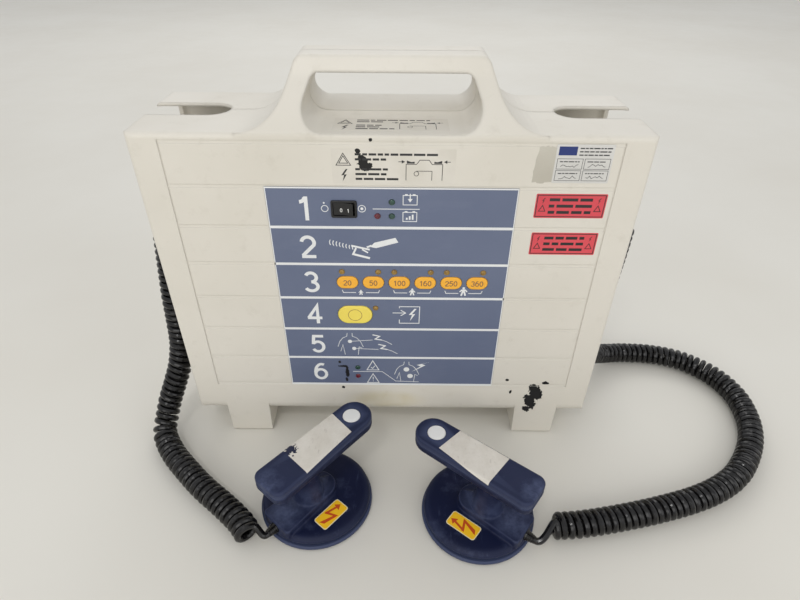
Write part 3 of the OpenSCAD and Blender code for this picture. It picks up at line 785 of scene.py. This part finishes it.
def key_cap(name, slot, x, z, width, height, number, material, ink_material):
    """A pillowed key, its number or ring printed on its face."""
    bm = bmesh.new()
    corners = box_corners(width, height, height / 2 - 0.05, (x, z))
    rings = slab_rings(corners, FOIL_FACE - 4.2, FOIL_FACE + 0.95, 0.9, 5)
    crown = [[(x + (px - x) * f, z + (pz - z) * f, FOIL_FACE + 0.95 + h) for px, pz, _ in rings[-1]]
             for f, h in ((0.8, 0.05), (0.4, 0.08))]
    add_loft(bm, rings + crown)
    flange = box_corners(width + 2, height + 2, height / 2 + 0.9, (x, z))
    add_loft(bm, slab_rings(flange, FOIL_FACE - 5.0, FOIL_FACE - 4.1))
    cap = piece(name + "_cap", bm, material, name, PANEL)
    stands_for(cap, slot, name)
    ink = Ink(FOIL_FACE + 0.98, 0.08)
    if number:
        ink.number(number, x, z, 5.4, 0.15)
    else:
        ink.ring(x, z, 6.2, 0.45)
    ink.piece(name + "_print", ink_material, name)


def make_keys():
    amber = moulded("amber key", (0.93, 0.47, 0.045), (0.85, 0.39, 0.03), 0.38)
    lemon = moulded("lemon key", (0.86, 0.70, 0.12), (0.80, 0.62, 0.09), 0.38)
    brown = moulded("key print", (0.23, 0.12, 0.06), (0.30, 0.16, 0.08), 0.5)
    for i, number in enumerate(("20", "50", "100", "160", "250", "360")):
        x = KEY_X + KEY_PITCH * i
        key_cap("key_" + number, "amber_key", x, row_z(3), 18.6, 12.4, number, amber, brown)
    key_cap("charge_key", "yellow_key", CHARGE_X, row_z(4), 31.4, 19.6, None, lemon, brown)


def make_switch():
    """A black bezel with a rocker marked 0 and 1."""
    black = moulded("switch black", (0.0045, 0.0045, 0.005), (0.009, 0.009, 0.01), 0.36)
    white = moulded("switch print", (0.7, 0.7, 0.68), (0.6, 0.6, 0.58), 0.5)
    switch_housing(black)
    place = Matrix.Translation((SWITCH_X, -57.5, row_z(1)))
    tilted = place @ Matrix.Rotation(math.radians(-7), 4, "Z") @ PANEL
    rocker(black, tilted)
    for digit, x in (("0", -1.8), ("1", 3.9)):
        ink = Ink(rocker_face(x) - 0.1, 0.3)
        ink.number(digit, x, -0.8, 3.2, 0.17)
        ink.piece("rocker_print_" + digit, white, "switch_rocker", tilted)


def switch_housing(black):
    """The bezel with the well that the rocker sits in, and two terminals behind."""
    at = (SWITCH_X, row_z(1))
    box = box_corners(19, 13, 0.8, at)
    bezel = slab_rings(box_corners(21, 15, 1.6, at), 60.2, 61.8, 0.7)
    well = box_corners(17.6, 11.4, 0.8, at)
    bm = bmesh.new()
    add_loft(bm, [ring_at(box, 40), ring_at(box, 60.2), *bezel, ring_at(well, 61.6), ring_at(well, 51)])
    for x in (-5, 5):
        add_loft(bm, slab_rings(box_corners(0.8, 6, 0.2, (SWITCH_X + x, row_z(1))), 32, 41))
    stands_for(piece("switch_housing", bm, black, "case", PANEL), "black", "switch_body")


def rocker(black, tilted):
    half = 7.9
    rings = []
    for y, shrink in ((-5.4, 0.4), (-5.25, 0.1), (-5.0, 0), (5.0, 0), (5.25, 0.1), (5.4, 0.4)):
        across = [-half + 2 * half * k / 16 for k in range(17)]
        face = [(x * (1 - shrink / 8), y, rocker_face(x) - shrink) for x in across]
        rings.append([*face, (6.8 - shrink, y, -2.5), (shrink - 6.8, y, -2.5)])
    bm = bmesh.new()
    add_loft(bm, rings)
    stands_for(piece("rocker", bm, black, "switch_rocker", tilted), "black", "switch_rocker")


def rocker_face(x):
    """Height of the rocker's hollowed face over its pin."""
    return 3.7 + 0.9 * (x / 7.9) ** 2


def make_lamps():
    """Round lenses in thin collars, one piece for each colour."""
    by_keys = [(KEY_X + KEY_PITCH * i + (4.4 if i % 2 else -4.4), row_z(3) + 11) for i in range(6)]
    by_switch = row_z(1)
    by_paddle = row_z(6)
    lamps("green", [(0.2, by_switch + 6.2), (0.2, by_switch - 6.2), (CHARGE_X, by_paddle + 5.7)],
          (0.02, 0.07, 0.05), (0.01, 0.04, 0.03))
    lamps("red", [(-11.4, by_switch - 6.2), (CHARGE_X, by_paddle - 5.7)],
          (0.15, 0.01, 0.025), (0.08, 0.008, 0.015))
    lamps("amber", by_keys + [(-14.7, row_z(4) + 7.6)], (0.34, 0.20, 0.03), (0.20, 0.11, 0.02))


def lamps(colour, places, bright, dark):
    """Unlit lamps of one colour, their lenses of clear tinted plastic."""
    s = Surface(colour + " lens")
    tone = s.mix(s.span(s.noise(300, 3), 0.35, 0.65), bright, dark)
    lens = s.set(colour=tone, rough=s.drift(90, 4, 0.18, 0.34), coat=0.5, coat_rough=0.1)
    profile = [(0, 53.5), (2.5, 53.5), (2.5, 60.6), (2.35, 60.8), (2.1, 60.75)]
    profile += [*bow(0, 60.7, 2.0, 0.5, 0, 75, 5), (0, 61.2)]
    bm = bmesh.new()
    for place in places:
        add_lathe(bm, profile, 32, place)
    made = piece(colour + "_lamps_lenses", bm, lens, "case", PANEL)
    stands_for(made, colour + "_lens", colour + "_lamps")


# ---- Labels on the case; all print is generic ----

def sticker(name, span_x, span_y, material, base, radius=1.0, matrix=PANEL):
    centre = ((span_x[0] + span_x[1]) / 2, (span_y[0] + span_y[1]) / 2)
    corners = box_corners(span_x[1] - span_x[0], span_y[1] - span_y[0], radius, centre)
    slab(name, corners, base - 0.03, base + 0.12, material, "case", matrix)


def instruction_label(name, x0, y0, width, height, base, paper, grey, matrix, rng):
    """A warning triangle and a flash, lines of print and a sketch of the case with arrows."""
    sticker(name, (x0, x0 + width), (y0, y0 + height), paper, base, 1.2, matrix)
    ink = Ink(base + 0.1, origin=(x0, y0))
    for size in (5.6, 3.4):
        low = height * 0.68 - size * 0.75
        ink.line([(9 - size, low), (9 + size, low), (9, low + size * 1.7)], 0.55, closed=True)
    ink.area(bolt(9, height * 0.24, height * 0.36))
    for level, ends in ((0.84, (14, 50)), (0.42, (52, 50, 42))):
        for k, end in enumerate(ends):
            ink.words(18, width - end, height * (level - 0.14 * k), height * 0.085, rng)
    ink.at(x0 + width - 24, y0 + height * 0.5)
    ink.line([(-14, -11), (-14, 2), (-6, 2), (-3.5, 5.4), (3.5, 5.4), (6, 2), (14, 2), (14, -11)], 0.5)
    ink.line([(-6, -3.4), (6, -3.4), (6, -11)], 0.45)
    ink.ring(-6, -5.6, 1.8, 0.45)
    hand = ((7.5, 2.6), (13.5, 2.6), (13.5, 5.0), (10, 3.8), (7.5, 4.2))
    arrow_tip = ((17.4, 2.6), (17.4, 5.4), (14.8, 4))
    for side in (-1, 1):
        ink.area([(side * u, v) for u, v in hand])
        ink.line([(side * 20, 4), (side * 16.5, 4)], 0.5)
        ink.area([(side * u, v) for u, v in arrow_tip])
    ink.piece(name + "_print", grey, "case", matrix)


def warning_sticker(name, x0, x1, z0, z1, red, black, rng):
    """A red notice: three lines of print in a frame, a triangle and a flash at each end."""
    sticker(name, (x0, x1), (z0, z1), red, CASE_FACE)
    width, tall = x1 - x0, z1 - z0
    ink = Ink(CASE_FACE + 0.1, origin=(x0, z0))
    ink.frame(1.2, width - 1.2, 1.2, tall - 1.2, 0.7)
    for k in range(3):
        ink.words(11, width - 11, tall * (0.76 - 0.26 * k), tall * 0.17, rng)
    for x in (6, width - 6):
        ink.line([(x - 2.6, 6), (x + 2.6, 6), (x, 11)], 0.6, closed=True)
        ink.area(bolt(x, 15, 5))
    ink.piece(name + "_print", black, "case")


def service_sticker(white, blue, grey, rng):
    """A white record label: a blue block, lines of print and boxes that have been filled in."""
    sticker("service_label", (124.4, 168.2), (288.2, 319), white, CASE_FACE, 0.8)
    ink = Ink(CASE_FACE + 0.1)
    ink.bar(126.2, 140, 310.5, 317.4)
    ink.piece("service_block", blue, "case")
    ink = Ink(CASE_FACE + 0.1)
    for k in range(3):
        ink.words(142, 166.5, 316 - 2.6 * k, 1.3, rng)
    for z in (299.6, 290.2):
        for x in (126.2, 147.2):
            ink.at(x, z)
            ink.frame(0, 19.4, 0, 8.2, 0.35)
            ink.words(2, 17, 5.9, 1.1, rng)
            ink.line([(3 + 1.5 * i, 2.6 + rng.uniform(-1.2, 1.4)) for i in range(10)], 0.4)
    ink.piece("service_print", grey, "case")


def torn_paper(paper, rng):
    """What is left of an older label beside it."""
    corners = [Vector(p) for p in ((109.1, 289), (116, 287.9), (124.6, 288.6), (125.1, 301),
                                   (124.8, 316), (118, 317.6), (111.5, 316.4), (109.6, 303))]
    edge = []
    for a, b in zip(corners, corners[1:] + corners[:1]):
        for k in range(5):
            ragged = Vector((rng.uniform(-0.5, 0.5), rng.uniform(-0.5, 0.5)))
            edge.append(a.lerp(b, k / 5) + ragged)
    ink = Ink(CASE_FACE - 0.02, 0.1)
    ink.area(edge)
    ink.piece("old_label", paper, "case")


def worn_label():
    """Cream label film, chipped through with the paint under it."""
    s = Surface("label paper")
    tone = s.mix(s.span(s.noise(50, 5), 0.35, 0.7), (0.70, 0.665, 0.595), (0.64, 0.605, 0.53))
    tone = s.mix(chips(s, CASE_CHIPS), tone, (0.003, 0.003, 0.003))
    grain = s.bump(s.noise(900, 3), 0.3, 0.00004)
    return s.set(colour=tone, rough=s.drift(60, 4, 0.55, 0.75), normal=grain)


def make_labels():
    rng = random.Random(4)
    paper = worn_label()
    old = moulded("old paper", (0.60, 0.575, 0.50), (0.47, 0.44, 0.37), 0.7)
    clean = moulded("label white", (0.70, 0.69, 0.66), (0.60, 0.59, 0.56), 0.45)
    grey = moulded("label print", (0.012, 0.012, 0.013), (0.07, 0.07, 0.07), 0.7)
    black = moulded("label black", (0.008, 0.008, 0.008), (0.03, 0.03, 0.03), 0.5)
    blue = moulded("label blue", (0.015, 0.03, 0.15), (0.02, 0.04, 0.18), 0.5)
    red = moulded("label red", (0.72, 0.075, 0.095), (0.62, 0.06, 0.08), 0.42)
    instruction_label("front_label", -45.9, 286.2, 95.1, 28.2, CASE_FACE, paper, grey, PANEL, rng)
    instruction_label("top_label", -45.6, -51, 89.6, 29, 325, paper, grey, Matrix.Identity(4), rng)
    service_sticker(clean, blue, grey, rng)
    torn_paper(old, rng)
    warning_sticker("upper_warning", 114.8, 171.3, 257.9, 279, red, black, rng)
    warning_sticker("lower_warning", 115.9, 171.1, 223.4, 244.4, red, black, rng)


def make_glands():
    """A disc against each side wall and a ribbed elbow that tapers down to the cord."""
    disc = [(0, 203), (9.2, 203), (10, 203.6), (10, 205.4), (9.2, 206), (0, 206)]
    run = [(194 + k, GLAND_Z) for k in range(15)]
    run += bow(GLAND_X - 7, GLAND_Z - 7, 7, 7, 90, 0, 14)
    run += [(GLAND_X, GLAND_Z - 8 - k) for k in range(6)]
    for side, sign in (("left", -1), ("right", 1)):
        bm = bmesh.new()
        add_lathe(bm, disc, 48)
        bm.transform(Matrix.Translation((0, 0, GLAND_Z)) @ Matrix.Rotation(sign * math.pi / 2, 4, "Y"))
        add_tube(bm, [metres((sign * x, 0, z)) for x, z in run], gland_radius, 32)
        made = piece(side + "_gland_elbow", bm, cord_rubber, "case", flatten=False)
        stands_for(made, "rubber", side + "_gland")


def gland_radius(share):
    """Smaller towards the cord, with ribs round that end."""
    rib = 0.45 if share > 0.42 and int(share * 26) % 2 else 0
    return MM * (7.4 - 1.5 * max(0, share - 0.3) + rib)


# ---- Pieces that keep the CAD's own shape ----

def circuit_material():
    """Green lacquered board with a faint net of tracks."""
    s = Surface("circuit board")
    tracks = s.span(s.noise(160, 2, (1, 1, 0.25)), 0.49, 0.52)
    tone = s.mix(tracks, (0.012, 0.075, 0.03), (0.03, 0.14, 0.06))
    return s.set(colour=tone, rough=s.drift(60, 4, 0.28, 0.42), normal=s.bump(tracks, 0.3, 0.00005))


def dress(material, *names):
    for name in names:
        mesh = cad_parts[name].data
        mesh.materials.clear()
        mesh.materials.append(material)


def both(*names):
    return [side + "_" + name for name in names for side in PADDLE]


def dress_the_rest():
    steel = metal("steel", (0.62, 0.61, 0.59), 0.28, (1, 8, 1))
    dress(metal("dark steel", (0.22, 0.21, 0.2), 0.4), "case_screws", *both("base_screws"))
    dress(steel, *both("electrode", "contact_plate"))
    aluminium = metal("chassis aluminium", (0.74, 0.75, 0.76), 0.38, (1, 1, 12))
    dress(aluminium, "chassis_plate", "capacitor_clamp")
    dress(metal("capacitor can", (0.55, 0.58, 0.62), 0.3, (1, 6, 1)), "storage_capacitor")
    dress(metal("core iron", (0.16, 0.15, 0.145), 0.5, (14, 1, 1)), "charging_transformer")
    dress(metal("copper wire", (0.72, 0.33, 0.16), 0.34, (1, 1, 20)), "output_inductor")
    dress(circuit_material(), "keypad_board", "main_board")
    dress(moulded("relay case", (0.75, 0.73, 0.66), (0.62, 0.6, 0.52), 0.35), "transfer_relay")
    dress(moulded("cell wrap", (0.05, 0.12, 0.30), (0.03, 0.08, 0.22), 0.32), "battery_pack")
    inner = moulded("inner black", (0.012, 0.012, 0.013), (0.03, 0.03, 0.03), 0.45)
    dress(inner, "beeper", *both("microswitch"))


# ---- Paddles, each in its own frame ----

GRIP = [(52, -17.5, 8), (52, 17.5, 8), (-70, 16.5, 16), (-70, -16.5, 16)]
GRIP_BOTTOM = 60
GRIP_SPLIT = 68
GRIP_TOP = 75
GRIP_EDGE = 2.6          # round of the grip's edges
SKIN = 2.2
DOME_TOP = 13.5
CORD_Z = 13              # height at which the cord enters
BUTTON_X = -50.5
NECK_X = 9


def workpiece(name, bm):
    """A passing object for a modifier to work on."""
    mesh = bpy.data.meshes.new(name)
    bm.to_mesh(mesh)
    obj = bpy.data.objects.new(name, mesh)
    bpy.context.scene.collection.objects.link(obj)
    return obj


def take_result(bm, obj):
    """Fills bm with the modified shape of the object, which is removed."""
    made = bpy.data.meshes.new_from_object(obj.evaluated_get(bpy.context.evaluated_depsgraph_get()))
    bpy.data.objects.remove(obj)
    bm.clear()
    bm.from_mesh(made)


def fuse(bm):
    """Fuses overlapping closed shapes into one moulding with filleted joints."""
    bmesh.ops.recalc_face_normals(bm, faces=bm.faces)
    bm.transform(Matrix.Scale(MM, 4))
    rough = workpiece("rough", bm)
    remesh = rough.modifiers.new("fuse", "REMESH")
    remesh.mode = "VOXEL"
    remesh.voxel_size = 0.7 * MM
    fillet = rough.modifiers.new("fillet", "SMOOTH")
    fillet.factor = 0.6
    fillet.iterations = 4
    rough.modifiers.new("thin", "DECIMATE").ratio = 0.35
    take_result(bm, rough)
    bm.transform(Matrix.Scale(1 / MM, 4))


def drill(bm, x, y, radius, low, high):
    """Cuts a round hole through a closed shape."""
    blank = workpiece("blank", bm)
    cutter = bmesh.new()
    add_lathe(cutter, [(0, low), (radius, low), (radius, high), (0, high)], 64, (x, y))
    bmesh.ops.recalc_face_normals(cutter, faces=cutter.faces)
    tool = workpiece("drill", cutter)
    cut = blank.modifiers.new("cut", "BOOLEAN")
    cut.operation = "DIFFERENCE"
    cut.object = tool
    take_result(bm, blank)
    bpy.data.objects.remove(tool)


def neck_ring(z):
    """A round column whose side away from the cord draws out to a ridge."""
    share = min(1.0, max(0.0, (z - 17) / 43))
    radius = 15.2 - 4.7 * share ** 0.6
    tip = min(26.5, 12.2 - share + 14.3 * max(0.0, (36 - z) / 16) ** 2.2)
    tip = max(tip, radius * 1.06)
    spread = math.acos(radius / tip)
    ring = []
    for k in range(72):
        a = 2 * math.pi * k / 72
        off = abs(a - math.pi)
        reach = radius
        if off < spread:
            reach = radius / math.cos(spread - off)
        ring.append((NECK_X + reach * math.cos(a), reach * math.sin(a), z))
    return ring


def add_cup(bm, rim, face, floor):
    """Half of the grip: from its face, with rounded edges, to the rim, and a cavity down to the floor."""
    side = 1 if rim > face else -1
    hollow = inset(GRIP, SKIN)
    add_loft(bm, [*rim_rings(GRIP, face, side, GRIP_EDGE, 5), ring_at(GRIP, rim - side * 0.4),
                  ring_at(inset(GRIP, 0.4), rim), ring_at(hollow, rim), ring_at(hollow, floor)])


def add_pedestal(bm):
    """The raised pad round the neck's foot and the boss that the cord enters."""
    pad = [(49, -17, 3.5), (49, 17, 3.5), (-19, 15, 14.6), (-19, -15, 14.6)]
    add_loft(bm, slab_rings(pad, DOME_TOP - 3, 20, 1.4))


def housing(side, navy):
    """The dome, the raised pad, the neck and the lower half of the grip, in one moulding."""
    bm = bmesh.new()
    add_lathe(bm, [(0, 5), (46.5, 5), (46.5, 7.2), (49.6, 7.2), (50.4, 8), (50.4, 9.6), (49.8, 11),
                   (48.4, 12.4), (46.8, 13.2), (44.6, DOME_TOP), (0, DOME_TOP)], 120)
    add_pedestal(bm)
    add_loft(bm, [neck_ring(z) for z in (14, 20, 21, 22, 23.5, 25, 27, 29, 31, 34, 38, 44, 50, 56, 61.5)])
    add_cup(bm, GRIP_SPLIT - 0.15, GRIP_BOTTOM, GRIP_BOTTOM + SKIN)
    fuse(bm)
    made = piece(side + "_paddle_body", bm, navy, side + "_paddle", PADDLE[side], 40)
    stands_for(made, "navy", side + "_housing")


def grip_cover(side, navy):
    """The upper half of the grip, with a hole for the button."""
    bm = bmesh.new()
    add_cup(bm, GRIP_SPLIT + 0.1, GRIP_TOP, GRIP_TOP - SKIN)
    bmesh.ops.recalc_face_normals(bm, faces=bm.faces)
    drill(bm, BUTTON_X, 0, 8.55, GRIP_SPLIT, GRIP_TOP + 1)
    made = piece(side + "_grip_lid", bm, navy, side + "_paddle", PADDLE[side], 40)
    stands_for(made, "navy", side + "_grip_cover")


def discharge_button(side, white):
    """A stem, a flange under the cover and a cap with a shallow ring pressed into it."""
    profile = [(0, 69.25), (2.5, 69.25), (2.5, 71.46), (10, 71.46), (10, 72.4), (8.25, 72.4), (8.25, 74.8),
               (8.0, 75.25), (7.5, 75.4), (6.7, 75.4), (6.5, 75.26), (6.2, 75.26), (6.0, 75.42), (0, 75.45)]
    made = lathe(side + "_button_cap", profile, white, side + "_button",
                 PADDLE[side] @ Matrix.Translation((BUTTON_X, 0, 0)), 64)
    stands_for(made, "white", side + "_button")


def button_spring(side, steel):
    """A coil spring between the grip's floor and the button."""
    radius = 8.05
    low = 62.7
    high = 70.9
    steps = 16 * 5
    around = bow(BUTTON_X, 0, radius, radius, 0, 5 * 360, steps)
    line = [metres((x, y, low + (high - low) * k / steps)) for k, (x, y) in enumerate(around)]
    bm = bmesh.new()
    add_tube(bm, line, 0.45 * MM, 8)
    made = piece(side + "_spring", bm, steel, None, PADDLE[side], flatten=False)
    stands_for(made, "steel", side + "_button_spring")
    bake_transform(made)


def over_grip(x, y, lift):
    """The grip cover's surface under a point, raised by lift; points past its edge fold down over it."""
    half = 16.5 + (x + 70) / 122
    past = abs(y) - (half - GRIP_EDGE)
    if past <= 0:
        return (x, y, GRIP_TOP + lift)
    a = min(past / GRIP_EDGE, math.pi / 2)
    down = max(0.0, past - GRIP_EDGE * math.pi / 2)
    out = half - GRIP_EDGE + (GRIP_EDGE + lift) * math.sin(a)
    return (x, math.copysign(out, y), GRIP_TOP - GRIP_EDGE + (GRIP_EDGE + lift) * math.cos(a) - down)


def grip_label(side, corners, paper):
    """A paper label stuck to the grip and folded over its rounded edge."""
    rows, columns = 28, 40
    a, b, c, d = (Vector(p) for p in corners)
    bm = bmesh.new()
    rims = []
    for lift in (0.16, 0.0):
        grid = []
        for i in range(rows + 1):
            left = a.lerp(d, i / rows)
            right = b.lerp(c, i / rows)
            places = [left.lerp(right, j / columns) for j in range(columns + 1)]
            grid.append([bm.verts.new(over_grip(*place, lift)) for place in places])
        for p, q in zip(grid, grid[1:]):
            for j in range(columns):
                bm.faces.new((p[j], p[j + 1], q[j + 1], q[j]))
        right_edge = [row[-1] for row in grid[1:]]
        left_edge = [row[0] for row in grid[-2:0:-1]]
        rims.append(grid[0] + right_edge + grid[-1][-2::-1] + left_edge)
    add_band(bm, *rims)
    piece(side + "_grip_label", bm, paper, side + "_paddle", PADDLE[side], flatten=False)


def shock_sticker(side, x, y, yellow, rust, cream):
    """A small yellow label with a zigzag arrow, on the dome."""
    place = PADDLE[side] @ Matrix.Translation((x, y, DOME_TOP - 0.05))
    body = side + "_paddle"
    slab(side + "_sticker_edge", box_corners(29.6, 15.4, 2.6), 0, 0.12, cream, body, place)
    slab(side + "_sticker", box_corners(28.2, 14.0, 2.0), 0.06, 0.18, yellow, body, place)
    ink = Ink(0.16)
    ink.area([(12.8, -2.2), (10.8, 2.2), (-2.9, 5.6), (-1.6, 3.2)])
    ink.area([(-3.1, 5.3), (-0.9, 5.0), (3.6, -5.2), (1.3, -5.6)])
    ink.area([(3.4, -5.6), (2.6, -3.4), (-8.2, -0.4), (-8.6, -2.4)])
    ink.area([(-12.6, -0.9), (-7.0, 2.2), (-8.6, -5.0)])
    ink.piece(side + "_sticker_arrow", rust, body, place)


def cord_relief(side):
    """The ribbed sleeve where the cord enters the paddle."""
    profile = [(0, -2), (5.0, -2), (5.0, 0.6)]
    for k in range(4):
        x = 1 + 1.7 * k
        r = 4.8 - 0.3 * k
        profile += [(r, x), (r, x + 0.9), (r - 0.55, x + 1.1), (r - 0.55, x + 1.6)]
    profile += [(3.5, 8.2), (3.1, 8.6), (0, 8.6)]
    place = PADDLE[side] @ Matrix.Translation((49, 0, CORD_Z)) @ Matrix.Rotation(math.pi / 2, 4, "Y")
    made = lathe(side + "_cord_relief", profile, cord_rubber, side + "_paddle", place, 40)
    stands_for(made, "rubber", side + "_cord_collar")


def navy_material():
    s = Surface("navy plastic")
    tone = s.mix(s.span(s.noise(14, 3), 0.3, 0.7), (0.0026, 0.0052, 0.026), (0.0042, 0.0078, 0.036))
    worn = s.span(s.node("ShaderNodeNewGeometry", {}, output="Pointiness"), 0.5, 0.56)
    patches = s.span(s.noise(48, 6, rough=0.7), 0.52, 0.72)
    scratches = s.span(s.noise(140, 5, (1, 0.14, 1), 0.75), 0.58, 0.74)
    scuff = s.math("MAXIMUM", s.math("MULTIPLY", worn, 0.6), s.math("MULTIPLY", scratches, 0.5))
    scuff = s.math("MAXIMUM", scuff, s.math("MULTIPLY", patches, 0.36))
    # Hands and the pockets rub the neck's foot, the boss and the grip's wide end
    rubbed = s.span(s.noise(90, 6, rough=0.7), 0.35, 0.7, 0.25, 1.0)
    for side in PADDLE:
        for x, z, reach in ((6, 24, 26), (36, 20, 22), (48, GRIP_TOP, 20)):
            here = s.span(near(s, PADDLE[side] @ Vector((x, 0, z)), reach), 0.0, 0.7)
            scuff = s.math("MAXIMUM", scuff, s.math("MULTIPLY", here, rubbed))
    tone = s.mix(scuff, tone, (0.07, 0.088, 0.165))
    gloss = s.drift(60, 5, 0.44, 0.60)
    return s.set(colour=tone, rough=gloss, specular=0.22, normal=s.bump(s.noise(1100, 3), 0.4, 0.00005))


def near(s, point, radius):
    """1 at a point, falling to 0 at the radius and below 0 outside; the point in millimetres."""
    place = PARTING + MM * Vector(point)
    away = s.node("ShaderNodeVectorMath", {0: s.place(), 1: tuple(place)}, output=1, operation="DISTANCE")
    return s.math("SUBTRACT", 1.0, s.math("MULTIPLY", away, 1 / radius / MM))


def paper_material(side, torn):
    """Worn cream paper, mottled, with its print rubbed off and flecks torn away near one corner."""
    s = Surface(side + " paper")
    tone = s.mix(s.span(s.noise(70, 6, rough=0.7), 0.35, 0.7), (0.70, 0.665, 0.60), (0.60, 0.56, 0.49))
    dirt = s.span(s.noise(420, 4, (1, 0.4, 1)), 0.62, 0.8, 0, 0.4)
    tone = s.mix(dirt, tone, (0.30, 0.25, 0.22))
    if torn:
        ragged = s.span(s.noise(300, 4, rough=0.6), 0.35, 0.65, -0.9, 0.9)
        gone = s.math("ADD", s.math("MULTIPLY", near(s, PADDLE[side] @ Vector(torn), 8), 2.0), ragged)
        tone = s.mix(s.span(gone, 0.55, 0.62), tone, (0.009, 0.012, 0.04))
    fibre = s.bump(s.noise(900, 4), 0.5, 0.00006)
    return s.set(colour=tone, rough=s.drift(80, 4, 0.6, 0.8), normal=fibre)


def make_paddles():
    navy = navy_material()
    white = moulded("white plastic", (0.80, 0.80, 0.78), (0.70, 0.70, 0.67), 0.4)
    yellow = moulded("sticker yellow", (0.95, 0.56, 0.012), (0.86, 0.48, 0.01), 0.45)
    rust = moulded("sticker rust", (0.60, 0.075, 0.008), (0.48, 0.06, 0.008), 0.45)
    cream = moulded("sticker edge", (0.80, 0.74, 0.52), (0.7, 0.64, 0.44), 0.5)
    steel = metal("spring steel", (0.5, 0.49, 0.47), 0.3)
    for side, sticker in (("left", (7.8, 28.3)), ("right", (1.3, -27))):
        housing(side, navy)
        grip_cover(side, navy)
        discharge_button(side, white)
        button_spring(side, steel)
        shock_sticker(side, *sticker, yellow, rust, cream)
        cord_relief(side)
        dress(navy, side + "_base")
    grip_label("left", [(17.8, -16.2), (19.5, 17.0), (-36.6, 13.7), (-40.4, -15.8)],
               paper_material("left", (14, -12, GRIP_TOP)))
    grip_label("right", [(14.1, -19.4), (15.6, 15.4), (-34.7, 15.5), (-38.9, -13.0)],
               paper_material("right", None))


def make_floor():
    bm = bmesh.new()
    bmesh.ops.create_grid(bm, x_segments=8, y_segments=8, size=6000)
    s = Surface("floor")
    tone = s.mix(s.span(s.noise(2.2, 3), 0.35, 0.65), (0.72, 0.70, 0.64), (0.69, 0.665, 0.60))
    floor = piece("floor", bm, s.set(colour=tone, rough=s.drift(20, 4, 0.5, 0.62)), None,
                  Matrix.Translation((0, 0, -0.3)), flatten=False)


make_camera()
make_studio()
make_floor()
cord_rubber = cord_material()
case_plastic = case_material()
dress(case_plastic, "front_shell", "rear_shell", "left_pocket_tray", "right_pocket_tray")
make_cords()
dress(foil_material(), "keypad_foil")
print_panel(moulded("white print", (0.80, 0.81, 0.80), (0.72, 0.73, 0.73), 0.5))
make_keys()
make_switch()
make_lamps()
make_labels()
make_glands()
dress_the_rest()
make_paddles()
